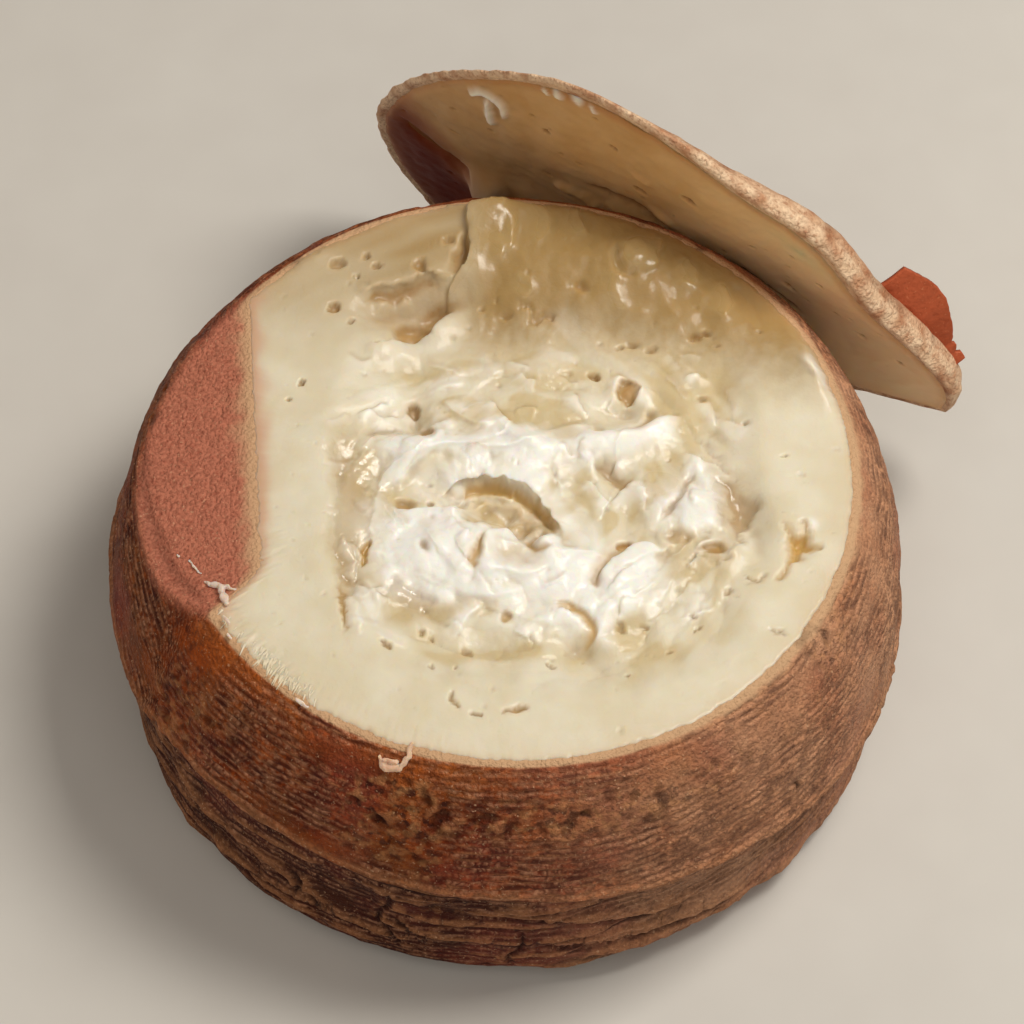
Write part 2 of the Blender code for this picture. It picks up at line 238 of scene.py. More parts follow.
class Clay:
    """A surface being worked. flat is where its points lie when laid out, and space where they really lie."""

    def __init__(self, flat, space):
        self.flat = flat
        self.lift = np.zeros(len(flat))
        self.push = np.zeros((len(flat), 2))
        self.marks = {}
        fray = [soft_noise(space, 2.3, seed) + 0.5 * soft_noise(space, 0.9, seed + 1) for seed in (11, 13)]
        self.fray = np.stack(fray, axis=1)

    def near(self, low, high):
        """Which points lie in a box of the laid out surface."""
        inside = (self.flat > low).all(axis=1) & (self.flat < high).all(axis=1)
        return np.flatnonzero(inside)

    def mark(self, where, share, marks):
        """Adds to each named mark its strength times share."""
        for name, strength in marks.items():
            layer = self.marks.setdefault(name, np.zeros(len(self.flat)))
            layer[where] += strength * share

    def dab(self, middle, length, width, turn, rise, edge=2.0, ragged=0.0, **marks):
        """A mound of half length and half width, turned by degrees. A higher edge makes its sides steeper."""
        reach = 2.7 * max(length, width)
        where = self.near(np.subtract(middle, reach), np.add(middle, reach))
        offset = self.flat[where] + ragged * self.fray[where] - middle
        angle = math.radians(turn)
        along = offset @ (math.cos(angle), math.sin(angle)) / length
        across = offset @ (-math.sin(angle), math.cos(angle)) / width
        share = np.exp(-((along**2 + across**2) ** (edge / 2)))
        self.lift[where] += rise * share
        self.mark(where, share, marks)

    def stroke(self, path, rise, steep, gentle, lean=0.0, ragged=0.0, **marks):
        """A ridge, or a groove, along the path: steep on its left side and gentle on its right."""
        curve = smooth_path(path)
        reach = 3 * max(steep, gentle)
        where = self.near(curve.min(axis=0) - reach, curve.max(axis=0) + reach)
        place = self.flat[where] + ragged * self.fray[where]
        signed, along, leftward = beside(curve, place)
        taper = smooth(0, TAPERED_END, np.minimum(along, 1 - along))
        width = np.where(signed > 0, steep, gentle) * (0.4 + 0.6 * taper)
        share = np.exp(-((signed / width) ** 2)) * taper
        self.lift[where] += rise * share
        self.push[where] += leftward * (lean * share**2)[:, None]
        self.mark(where, share, marks)

    def layer(self, name):
        """A mark at every point, kept between 0 and 1."""
        return np.clip(self.marks.get(name, np.zeros(len(self.flat))), 0, 1)


# %% [markdown]
# ## Raw blocks
# Two kinds of raw mesh are enough for all but small pieces. A drum is a fine square grid bent into a disc,
# with its rim drawn down and closed: its even squares suit a cut face, and it has no pinched middle. A rolled
# sheet is a grid whose ends meet round the wheel: its rows and columns suit a side with bands round it. Both
# start as Blender's grid.

# %% Raw blocks
# Points that are closer than this, in metres, are one point.
SAME_PLACE = 0.000001


def raw_drum(name, cells, rows):
    """A disc of radius 1 at height 0 whose rim is drawn down by 1 for each row, and closed."""
    bpy.ops.object.select_all(action="DESELECT")
    bpy.ops.mesh.primitive_grid_add(x_subdivisions=cells, y_subdivisions=cells, size=2)
    drum = bpy.context.object
    drum.name = name
    bpy.ops.object.mode_set(mode="EDIT")
    bpy.ops.mesh.select_all(action="SELECT")
    bpy.ops.mesh.region_to_loop()
    for _ in range(rows):
        bpy.ops.mesh.extrude_region_move(TRANSFORM_OT_translate={"value": (0, 0, -1)})
    bpy.ops.mesh.edge_face_add()
    bpy.ops.object.mode_set(mode="OBJECT")
    return drum


def drum_places(drum):
    """The drum's points as angle, share of the radius, and row."""
    square = read_points(drum)
    x = square[:, 0] * np.sqrt(1 - square[:, 1] ** 2 / 2)
    y = square[:, 1] * np.sqrt(1 - square[:, 0] ** 2 / 2)
    return np.arctan2(y, x), np.hypot(x, y), np.round(-square[:, 2])


def raw_sheet(name, columns, rows):
    bpy.ops.object.select_all(action="DESELECT")
    bpy.ops.mesh.primitive_grid_add(x_subdivisions=columns, y_subdivisions=rows, size=2, calc_uvs=True)
    sheet = bpy.context.object
    sheet.name = name
    return sheet


def sheet_places(sheet, rows):
    """The sheet's points as azimuth, with the seam at the back, and row from the top."""
    square = read_points(sheet)
    return -math.pi / 2 + math.pi * square[:, 0], np.round((1 - square[:, 1]) / 2 * rows)


def close_up(piece):
    """Joins the seam of a rolled sheet, fills its two ends and turns all faces outwards."""
    bpy.context.view_layer.objects.active = piece
    bpy.ops.object.mode_set(mode="EDIT")
    bpy.ops.mesh.select_all(action="SELECT")
    bpy.ops.mesh.remove_doubles(threshold=SAME_PLACE)
    bpy.ops.mesh.fill_holes(sides=0)
    bpy.ops.mesh.select_all(action="SELECT")
    bpy.ops.mesh.normals_make_consistent(inside=False)
    bpy.ops.object.mode_set(mode="OBJECT")


def finish_piece(piece, material, node):
    """Gives a piece its material, smooth shading and the root body, and hides the solid it replaces."""
    piece.data.shade_smooth()
    piece.data.materials.append(material)
    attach(piece, "root")
    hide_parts(node)
    faces = piece.data.polygons
    print(piece.name, "has", sum(len(face.vertices) - 2 for face in faces), "triangles")


# %% [markdown]
# ## Colours and nodes
# Colours are written as they look on a screen, in hex, and shaders need them in linear light, so one function
# turns them. Another adds any node with its settings and links and gives back the output that is wanted, so
# that a material reads as a list of steps.

# %% Colours and nodes
COLOURS = {"data_type": "RGBA"}


def linear(code):
    values = [int(code[index : index + 2], 16) / 255 for index in (1, 3, 5)]
    return (*[v / 12.92 if v <= 0.04045 else ((v + 0.055) / 1.055) ** 2.4 for v in values], 1.0)


def set_inputs(material, node, inputs):
    """Each input, by its name or identifier, gets a value or another node's output."""
    for name, value in inputs.items():
        socket = next(item for item in node.inputs if item.enabled and name in (item.name, item.identifier))
        if isinstance(value, bpy.types.NodeSocket):
            material.node_tree.links.new(value, socket)
        else:
            socket.default_value = value


def add_node(material, kind, settings, inputs, output=None):
    """Adds a node and gives back its output of that name, or else its first one."""
    node = material.node_tree.nodes.new("ShaderNode" + kind)
    for name, value in settings.items():
        setattr(node, name, value)
    set_inputs(material, node, inputs)
    return node.outputs[output] if output else next(item for item in node.outputs if item.enabled)


def new_material(name):
    material = bpy.data.materials.new(name)
    material.use_nodes = True
    return material, material.node_tree.nodes["Principled BSDF"]


# %% [markdown]
# ## The rind's sheet
# The rind keeps the print of the cloth that bound the cheese: fine bands round it, and a ledge where the
# cloth's edge pressed in. The ledge is a real step with a crease under it, which is also painted dark as
# painted shade, so the rind is made of two pieces that meet there, and each can have fine enough points for
# the bands. Each is a sheet rolled round the wheel, whose points are spread evenly down the side.

# %% The ledge and the sheet's places
LEDGE_LEFT_HEIGHT = 36.0
LEDGE_RIGHT_HEIGHT = 15.0
LEDGE_HIGHEST_AZIMUTH = math.radians(-125)
LEDGE_STEP = 1.3
LIP_HEIGHT = 0.9
LIP_WIDTH = 3.5
PROFILE_STEPS = np.linspace(0, 1, 121)


def ledge_height(azimuth):
    turn = (1 + np.cos(azimuth - LEDGE_HIGHEST_AZIMUTH)) / 2
    return LEDGE_RIGHT_HEIGHT + (LEDGE_LEFT_HEIGHT - LEDGE_RIGHT_HEIGHT) * turn


def ragged_ledge(azimuth):
    """The ledge's real line: it wanders by a millimetre or so."""
    ring = outwards(azimuth) * WHEEL_RADIUS
    return ledge_height(azimuth) + 1.1 * soft_noise(ring, 17.0, 21) + 0.5 * soft_noise(ring, 4.5, 22)


def foot_angle(azimuth):
    """The side's angle where it meets the flat bottom."""
    lowest = -math.asin((WIDEST_HEIGHT / (WIDEST_HEIGHT + SETTLED)) ** (BOTTOM_POWER / 2))
    return np.full_like(azimuth, lowest)


def ledge_angle(azimuth, above):
    height = ragged_ledge(azimuth) + above
    return angle_where(azimuth, lambda place: place[..., 2] > height)


def spread_down(azimuth, start, end, share):
    """Points at an even share of the way along the side, from angle start to angle end of each azimuth."""
    columns, column_of = np.unique(azimuth.round(6), return_inverse=True)
    start, end = start(columns), end(columns)
    angles = start[:, None] + (end - start)[:, None] * PROFILE_STEPS
    places = side_place(angles, columns[:, None])[0]
    lengths = np.linalg.norm(np.diff(places, axis=1), axis=2).cumsum(axis=1)
    lengths = np.hstack((np.zeros((len(columns), 1)), lengths))
    angle, depth = np.empty_like(share), np.empty_like(share)
    for column in range(len(columns)):
        mine = column_of == column
        depth[mine] = share[mine] * lengths[column, -1]
        angle[mine] = np.interp(depth[mine], lengths[column], angles[column])
    place, shoulder = side_place(angle, azimuth)
    return place, shoulder, depth


# %% [markdown]
# ## Working the rind
# What the solid already has comes first: the lip over the ledge, the step below it, and the slow dents. Then
# come the marks that are too fine for a solid: the cloth's bands, lumps, pebbled skin, cracks and wrinkles.
# The fine marks stand out along the surface's own normal, so they also work on the flattened shoulder.

# %% Bands, lumps and pebbles
DENT_DEPTH = 0.7
DENT_SPACING = 22.0
LOW_DENT_DEPTH = 0.45
LOW_DENT_SPACING = 9.0
DENTS_START_ABOVE_FOOT = 8.0
DENTS_END_BELOW_CUT = 6.0
BAND_PITCH = 1.6
BAND_DEPTH = 0.40
ROLL_PITCH = 5.2
ROLL_DEPTH = 1.1
LEVEL_SCALE = 100.0


def dents(space, spacing):
    """Slow rises and hollows that the solid has too, from -1 to 1."""
    return np.array([noise.noise(Vector(place) / spacing) for place in space])


def slow_relief(place, azimuth, below):
    """The solid's own relief, outwards. below is 1 under the ledge and 0 over it."""
    above_ledge = place[:, 2] - ledge_height(azimuth)
    lip = LIP_HEIGHT * np.exp(-((above_ledge / LIP_WIDTH) ** 2)) * (1 - below)
    low = LOW_DENT_DEPTH * dents(place, LOW_DENT_SPACING) * below
    relief = lip - below * LEDGE_STEP + DENT_DEPTH * dents(place, DENT_SPACING) + low
    free = smooth(0, DENTS_START_ABOVE_FOOT, place[:, 2])
    return relief * free * smooth(0, DENTS_END_BELOW_CUT, cut_height(place[:, 0], place[:, 1]) - place[:, 2])


def wandering(level, place):
    """A level on the side, in mm, that wanders up and down a little as a wound cloth does."""
    return level + 1.2 * soft_noise(place, 26.0, 31) + 0.3 * soft_noise(place, 6.0, 32)


def rolls(place):
    """Long folds of slack skin that overlap: how far each stands out, and the crease under it."""
    level = place[:, 2] + 2.6 * soft_noise(place, 30.0, 34) + 0.5 * soft_noise(place, 8.0, 35)
    share = (level / ROLL_PITCH) % 1.0
    strength = smooth(-0.35, 0.3, soft_noise(place * (0.4, 0.4, 1.0), 9.0, 36))
    crease = np.exp(-((np.minimum(share, 1 - share) * ROLL_PITCH / 0.42) ** 2))
    return ROLL_DEPTH * strength * (1 - share) * smooth(0, 0.2, share), crease * strength


def surface_normals(place, order, shape):
    """Normals of a rolled sheet. order sorts its points into rows and columns, shape says how many."""
    grid = place[order].reshape(*shape, 3)
    across, down = np.gradient(grid, axis=1), np.gradient(grid, axis=0)
    across[:, 0] = across[:, -1] = grid[:, 1] - grid[:, -2]
    normal = np.cross(down, across)
    normals = np.empty_like(place)
    normals[order] = (normal / (np.linalg.norm(normal, axis=2)[:, :, None] + 1e-9)).reshape(-1, 3)
    return normals


def soft_blur(grid, reach):
    """The grid with each value spread over reach points each way, twice."""
    kernel = np.ones(2 * reach + 1) / (2 * reach + 1)
    for axis in (0, 1, 0, 1):
        padded = np.pad(grid, [(reach, reach) if side == axis else (0, 0) for side in (0, 1)], mode="edge")
        grid = np.apply_along_axis(lambda line: np.convolve(line, kernel, mode="valid"), axis, padded)
    return grid


def raised_over(lift, order, shape, reach):
    """How far each point of a sheet stands over the points round it."""
    relief = lift[order].reshape(shape)
    raised = np.zeros(len(lift))
    raised[order] = (relief - soft_blur(relief, reach)).ravel()
    return raised


# %% [markdown]
# ## The rind's single marks
# The bands and lumps are everywhere, but some marks are single: upright cracks where the rind dried, long
# wrinkles in the slack skin under the ledge, and the dark line round the smooth patch on the shoulder. Each
# is a stroke, and their grooves are painted dark as painted shade. The side is laid out flat for them, its
# length round the wheel against its height.

# %% Cracks and wrinkles
MM_ROUND_PER_DEGREE = math.radians(WHEEL_RADIUS)
CRACKS = {
    "long crack at the front left": ((-107, 30), (-106, 24), (-108, 17), (-105, 11), (-106, 6)),
    "its branch": ((-106, 19), (-103, 16), (-101, 15)),
    "crack at the middle": ((-88, 22), (-87, 15), (-89, 10), (-88, 5)),
    "short crack at the left": ((-135, 35), (-136, 32), (-134, 29)),
    "nick high at the right": ((-45, 37), (-44, 34)),
    "crack low at the left": ((-122, 22), (-120, 17), (-123, 12)),
    "crack at the back": ((80, 24), (82, 17), (79, 12)),
    "crack at the right": ((20, 14), (22, 9), (21, 6)),
}
LOW_WRINKLES = {
    "under the ledge at the front": ((-97, 24), (-85, 25), (-70, 19), (-58, 18)),
    "second under the ledge": ((-88, 15), (-74, 13), (-60, 12), (-44, 11)),
    "lowest at the right": ((-82, 9), (-68, 8.5), (-52, 7), (-38, 6.5)),
    "light roll at the left": ((-150, 24), (-137, 21), (-124, 19), (-112, 13)),
    "lower roll at the left": ((-140, 12), (-128, 10), (-116, 8)),
    "roll at the back": ((60, 12), (80, 14), (100, 12), (125, 15)),
}
SHOULDER_LINE = ((-64.5, 16), (-65, 4), (-63, -7), (-59, -18), (-54.5, -25), (-50.5, -29.5))
PITTED_LEVEL = 48.5
PITTED_AZIMUTH = -78.0


def flattened(place, azimuth):
    """The side laid out flat: mm round the wheel from the front, and height."""
    return np.stack((np.degrees(azimuth + math.pi / 2) * MM_ROUND_PER_DEGREE, place[:, 2]), axis=1)


def on_side(points):
    """A path given in degrees of azimuth and mm of height, on the side laid out flat."""
    return [((azimuth + 90) * MM_ROUND_PER_DEGREE, height) for azimuth, height in points]


def work_side(clay, place, level, skin, below):
    """Bands, lumps, pits and single marks of the side."""
    rough = 1 - 0.8 * skin
    degrees = np.degrees(np.arctan2(place[:, 1], place[:, 0]))
    front = np.exp(-(((level - PITTED_LEVEL) / 4.5) ** 2) - ((degrees - PITTED_AZIMUTH) / 34) ** 2)
    elsewhere = 0.8 * smooth(0.12, 0.5, soft_noise(place, 15.0, 37))
    pitted = np.clip(front + elsewhere, 0, 1) * rough * (1 - 0.5 * below)
    cloth = smooth(-0.65, 0.15, soft_noise(place * (0.3, 0.3, 1.0), 6.0, 33)) * rough * (1 - 0.8 * pitted)
    cloth *= 1 - 0.35 * below
    ridge = 0.5 + 0.5 * np.cos(2 * math.pi * level / BAND_PITCH)
    lumps = 0.26 * soft_noise(place, 5.5, 51) + 0.15 * soft_noise(place * (1, 1, 1.5), 2.6, 52)
    pits = smooth(0.10, 0.55, soft_noise(place, 2.6, 53))
    pebbles = 0.10 * soft_noise(place, 2.4, 54) + 0.05 * soft_noise(place, 1.0, 50)
    clay.lift += lumps * rough + BAND_DEPTH * cloth * (ridge - 0.5) + pebbles * skin
    clay.lift += pitted * (0.28 * soft_noise(place, 2.1, 56) - 0.6 * pits)
    clay.marks["cloth"] = cloth
    clay.marks["pitted"] = pitted
    # The crease mark is painted shade: it darkens pits, the cracks between plates and the folds under rolls.
    clay.marks["crease"] = 0.6 * pitted * pits
    if below.any():
        stand_out, under_roll = rolls(place)
        plates = soft_noise(place * (1, 1, 1.6), 6.5, 55)
        clay.lift += below * (stand_out + 0.35 * (np.abs(plates) ** 0.6 - 0.5))
        clay.marks["crease"] += below * (smooth(0.08, 0.0, np.abs(plates)) * 0.45 + 0.85 * under_roll)
    # The cracks and the grooves under the wrinkles are painted dark too, as painted shade.
    for path in CRACKS.values():
        clay.stroke(on_side(path), -0.9, 0.5, 0.6, ragged=0.5, crease=0.9)
        clay.stroke(on_side(path), 0.35, 1.8, 1.8, ragged=0.5)
    for path in LOW_WRINKLES.values():
        # Each wrinkle's ridge is painted paler, partly as wear and partly as painted highlight.
        clay.stroke(on_side(path), 0.9, 2.6, 1.0, ragged=0.6, worn=0.5)
        under = [(azimuth, height - 1.5) for azimuth, height in path]
        clay.stroke(on_side(under), -0.8, 0.5, 0.9, ragged=0.6, crease=0.9)


# %% [markdown]
# ## The upper rind
# From the cut down to the ledge. Its sheet starts in a recess that holds the paste, comes out over a shelf
# under the paste's edge, turns over the rim, and runs down to the ledge, where it is tucked in.

# %% The upper rind's sheet
RIND_COLUMNS = 720
UPPER_OUTER_ROWS = 124
# The side where the main light falls; the rind is painted paler towards it, as painted light.
LIGHT_SIDE_AZIMUTH = math.radians(-8)
RECESS_FLOOR = 44.0
SHELF = ((-2.9, None), (-2.9, -0.9), (-1.9, -0.30), (-1.0, -0.16), (-0.4, -0.10))
TUCK = ((-1.2, 0.2), (-3.6, 1.2))
upper_rows = len(SHELF) + UPPER_OUTER_ROWS + len(TUCK)

rind_upper = raw_sheet("rind_upper", RIND_COLUMNS, upper_rows)
azimuth, row = sheet_places(rind_upper, upper_rows)
outer = np.clip((row - len(SHELF)) / UPPER_OUTER_ROWS, 0, 1)
place, skin, depth = spread_down(azimuth, rim_angle, lambda a: ledge_angle(a, -0.5), outer)
outward = outwards(azimuth)
order = np.lexsort((azimuth, row))
shape = (upper_rows + 1, RIND_COLUMNS + 1)
normals = surface_normals(place, order, shape)
print("the upper rind's rows are", round(float(depth.max()) / UPPER_OUTER_ROWS, 2), "mm apart at most")

# %% The upper rind's surface
side = Clay(flattened(place, azimuth), place)
level = wandering(CUT_HEIGHT - depth, place)
work_side(side, place, level, skin, np.zeros(len(place)))
plan = Clay(place[:, :2], place)
plan.stroke(SHOULDER_LINE, -0.40, 0.9, 1.6, ragged=0.5, crease=0.35)
plan.stroke([(x - 2.4, y - 0.6) for x, y in SHOULDER_LINE], 0.35, 1.6, 1.6, ragged=0.5)
on_shoulder = smooth(0.3, 0.7, skin)
ledge_gap = place[:, 2] - ragged_ledge(azimuth)
lift = side.lift + plan.lift * on_shoulder
lift *= smooth(0, 1.4, depth) * 0.85 + 0.15
lift += 0.45 * np.exp(-((ledge_gap / 1.2) ** 2))
space = place + outward * slow_relief(place, azimuth, np.zeros(len(place)))[:, None] + normals * lift[:, None]
space[:, 2] -= 0.35 * np.exp(-((depth / 0.6) ** 2)) * (1 - 0.8 * skin)
for index, (inward, drop) in enumerate(SHELF):
    mine = row == index
    height = RECESS_FLOOR if drop is None else cut_height(place[mine, 0], place[mine, 1]) + drop
    space[mine] = place[mine] + outward[mine] * inward
    space[mine, 2] = height
for index, (inward, rise) in enumerate(TUCK):
    mine = row == upper_rows - len(TUCK) + 1 + index
    space[mine] += outward[mine] * inward + np.array((0, 0, rise))
place_points(rind_upper, space)

# %% The upper rind's marks
raised = raised_over(lift, order, shape, 4)
rightness = smooth(0.0, 0.95, np.cos(azimuth - LIGHT_SIDE_AZIMUTH))
edge_reach = (0.22 + 0.9 * rightness**2) * (1 + 0.7 * soft_noise(place, 2.6, 57))
edge_reach += skin * (2.4 + 1.6 * soft_noise(place, 4.0, 58) + 0.8 * soft_noise(place, 1.2, 59))
paint(rind_upper, {
    "skin": skin,
    "level": level / LEVEL_SCALE,
    "cloth": side.layer("cloth"),
    "pitted": side.layer("pitted"),
    # Painted shade in pits, cracks, creases and along the shoulder's line.
    "crease": side.layer("crease") + plan.layer("crease") * on_shoulder,
    # Paler on rises, as wear, and on the lip over the ledge, as painted highlight where it catches the light.
    "worn": smooth(0.05, 0.30, raised) + 0.9 * np.exp(-(((ledge_gap - 0.6) / 0.9) ** 2)),
    "cut_edge": np.where(row < len(SHELF), 1.0, np.exp(-((depth / edge_reach) ** 2))),
    "fresh": np.exp(-((depth / 5.0) ** 2)) * (1 - skin),
    # Painted light: paler towards the right, where the main light falls.
    "pale": rightness * (0.8 + 0.4 * soft_noise(place, 9.0, 56)),
})
close_up(rind_upper)

# %% [markdown]
# ## The lower rind
# Below the ledge the rind was outside the cloth. It is slack and cracked into plates, and painted darker
# all over as painted shade, for the side that turns down from the light. Its sheet starts tucked under the
# lip, so that the crease between the two is a real gap.

# %% The lower rind's sheet
LOWER_OUTER_ROWS = 124
LOWER_START = ((-4.5, 1.8), (-1.6, 1.4))
FOOT_ROWS = ((-3.0, 0.0),)
lower_rows = len(LOWER_START) + LOWER_OUTER_ROWS + len(FOOT_ROWS)

rind_lower = raw_sheet("rind_lower", RIND_COLUMNS, lower_rows)
azimuth, row = sheet_places(rind_lower, lower_rows)
outer = np.clip((row - len(LOWER_START)) / LOWER_OUTER_ROWS, 0, 1)
place, skin, depth = spread_down(azimuth, lambda a: ledge_angle(a, 0.6), foot_angle, outer)
outward = outwards(azimuth)
order = np.lexsort((azimuth, row))
shape = (lower_rows + 1, RIND_COLUMNS + 1)
normals = surface_normals(place, order, shape)

# %% The lower rind's surface
under_ledge = np.ones(len(place))
side = Clay(flattened(place, azimuth), place)
level = wandering(place[:, 2], place)
work_side(side, place, level, np.zeros(len(place)), under_ledge)
ledge_gap = place[:, 2] - ragged_ledge(azimuth)
lift = side.lift * smooth(0.0, 6.0, place[:, 2])
lift -= 0.9 * np.exp(-((ledge_gap / 1.1) ** 2))
relief_out = slow_relief(place, azimuth, under_ledge)
space = place + outward * relief_out[:, None] + normals * lift[:, None]
for index, (inward, rise) in enumerate(LOWER_START):
    mine = row == index
    space[mine] += outward[mine] * inward + np.array((0, 0, rise))
for index, (inward, rise) in enumerate(FOOT_ROWS):
    mine = row == lower_rows - len(FOOT_ROWS) + 1 + index
    space[mine] = place[mine] + outward[mine] * inward
    space[mine, 2] = rise
space[:, 2] = np.maximum(space[:, 2], 0.0)
place_points(rind_lower, space)
raised = raised_over(lift, order, shape, 5)
rightness = smooth(0.0, 0.95, np.cos(azimuth - LIGHT_SIDE_AZIMUTH))
paint(rind_lower, {
    "level": level / LEVEL_SCALE,
    "cloth": side.layer("cloth"),
    "pitted": side.layer("pitted"),
    # Painted shade in pits, cracks, creases and under the ledge.
    "crease": side.layer("crease") + np.exp(-(((ledge_gap + 0.4) / 1.1) ** 2)),
    # Paler on rises and wrinkle ridges, partly as wear and partly as painted highlight.
    "worn": smooth(0.05, 0.35, raised) + 0.5 * side.layer("worn"),
    # Painted light: paler towards the right, where the main light falls.
    "pale": rightness * (0.8 + 0.4 * soft_noise(place, 9.0, 56)),
    # Painted shade: the whole lower rind is darkened, as the side turned down from the light.
    "low": np.ones(len(place)),
})
close_up(rind_lower)

# %% [markdown]
# ## The rind's finish
# A washed rind, rubbed with salt and wrapped in cloth: dull, dry and mottled from brick red to tan. Fresh
# rind at the cut is the colour of toffee, because the paste shows through it. The cloth's ridges are in the
# mesh. Their tops are painted pale, partly as rubbed wear and partly as painted highlight, but not all
# along: upright threads cut each ridge into beads, and some of the beads are rubbed away. The gaps between
# them are painted dark as painted shade. The mark named level says how high each point lies along the
# wound cloth, so the shader's ridges fall on the mesh's.

# %% Washed rind
TICKS_ROUND = 420
LEVEL_TURN = 2 * math.pi * LEVEL_SCALE / BAND_PITCH
RIDGE_WOBBLE = (0.22, 6.0)
TICK_SWAY = (0.35, 22.0)
RIND_MARKS = ("skin", "level", "cloth", "pitted", "crease", "worn", "cut_edge", "fresh", "pale", "low", "dry")
# How fine each noise is, per mm, and the values between which it rises from 0 to 1.
RIND_NOISES = {
    "mottle": (0.10, 0.42, 0.60),
    "patch": (0.33, 0.50, 0.60),
    "olive": (0.07, 0.50, 0.62),
    "pits": (0.50, 0.54, 0.64),
    "lumps": (0.42, 0.52, 0.64),
    "speck": (1.9, 0.64, 0.72),
    "grit": (1.6, 0.38, 0.72),
    "dots": (1.1, 0.56, 0.66),
    "beads": (1.0, 0.34, 0.62),
    "ladder": (0.09, 0.50, 0.62),
    "breaks": (0.40, 0.36, 0.52),
    "rosy": (0.045, 0.47, 0.60),
}
# What lies only where all of its factors lie.
RIND_OVERLAPS = {
    "tops": ("cells", "beads", "cloth"),
    "gaps": ("between", "cloth", "breaks"),
    "deep pits": ("pits", "pitted"),
    "light lumps": ("lumps", "pitted"),
    "skin dots": ("dots", "skin"),
}


def washed_rind(name, tones, relief=0.8):
    """The first tone is the rind's own. Each further one has where it lies, its strength and its colour."""
    rind, shader = new_material(name)
    space = add_node(rind, "TexCoord", {}, {}, "Object")
    times, plus, less = {"operation": "MULTIPLY"}, {"operation": "ADD"}, {"operation": "SUBTRACT"}
    scaled_plus = {"operation": "MULTIPLY_ADD"}
    parts = {}
    for mark in RIND_MARKS:
        parts[mark] = add_node(rind, "Attribute", {"attribute_name": mark}, {}, "Fac")
    for title, (per_mm, low, high) in RIND_NOISES.items():
        raw = add_node(rind, "TexNoise", {}, {"Vector": space, "Scale": per_mm / MM, "Detail": 2.0})
        parts[title] = add_node(rind, "MapRange", {}, {"Value": raw, "From Min": low, "From Max": high})

    per_mm, wobble_by = RIDGE_WOBBLE
    wobble = add_node(rind, "TexNoise", {}, {"Vector": space, "Scale": per_mm / MM, "Detail": 2.0})
    turn = add_node(rind, "Math", times, {"Value": parts["level"], "Value_001": LEVEL_TURN})
    turn = add_node(rind, "Math", scaled_plus, {"Value": wobble, "Value_001": wobble_by, "Value_002": turn})
    ridge = add_node(rind, "Math", {"operation": "COSINE"}, {"Value": turn})
    ridge = add_node(rind, "MapRange", {}, {"Value": ridge, "From Min": -0.7, "From Max": 1.0})

    per_mm, sway_by = TICK_SWAY
    east = add_node(rind, "SeparateXYZ", {}, {"Vector": space}, "X")
    north = add_node(rind, "SeparateXYZ", {}, {"Vector": space}, "Y")
    ticks = add_node(rind, "Math", {"operation": "ARCTAN2"}, {"Value": north, "Value_001": east})
    ticks = add_node(rind, "Math", times, {"Value": ticks, "Value_001": TICKS_ROUND})
    sway = add_node(rind, "TexNoise", {}, {"Vector": space, "Scale": per_mm / MM, "Detail": 2.0})
    ticks = add_node(rind, "Math", scaled_plus, {"Value": sway, "Value_001": sway_by, "Value_002": ticks})
    ticks = add_node(rind, "Math", {"operation": "COSINE"}, {"Value": ticks})
    ticks = add_node(rind, "MapRange", {}, {"Value": ticks, "From Min": -1.0, "From Max": 0.5, "To Min": 0.2})
    knots = add_node(rind, "Mix", {}, {"Factor": parts["ladder"], "A": 1.0, "B": ticks})
    parts["cells"] = add_node(rind, "Math", times, {"Value": ridge, "Value_001": knots})
    parts["between"] = add_node(rind, "Math", less, {"Value": 1.0, "Value_001": parts["cells"]})

    for title, (first, *others) in RIND_OVERLAPS.items():
        parts[title] = parts[first]
        for other in others:
            both = {"Value": parts[title], "Value_001": parts[other]}
            parts[title] = add_node(rind, "Math", times, both)
    colour = linear(tones[0])
    for title, strength, code in tones[1:]:
        share = add_node(rind, "Math", times, {"Value": parts[title], "Value_001": strength})
        colour = add_node(rind, "Mix", COLOURS, {"Factor": share, "A": colour, "B": linear(code)})
    rough = add_node(rind, "Math", plus, {"Value": parts["tops"], "Value_001": parts["grit"]})
    rough = add_node(rind, "Math", less, {"Value": rough, "Value_001": parts["deep pits"]})
    bump = add_node(rind, "Bump", {}, {"Strength": relief, "Distance": 0.30 * MM, "Height": rough})
    dull = add_node(rind, "MapRange", {}, {"Value": parts["speck"], "To Min": 0.58, "To Max": 0.36})
    set_inputs(rind, shader, {
        "Base Color": colour, "Roughness": dull, "Normal": bump,
        "IOR": 1.45, "Specular IOR Level": 0.15,
    })
    return rind


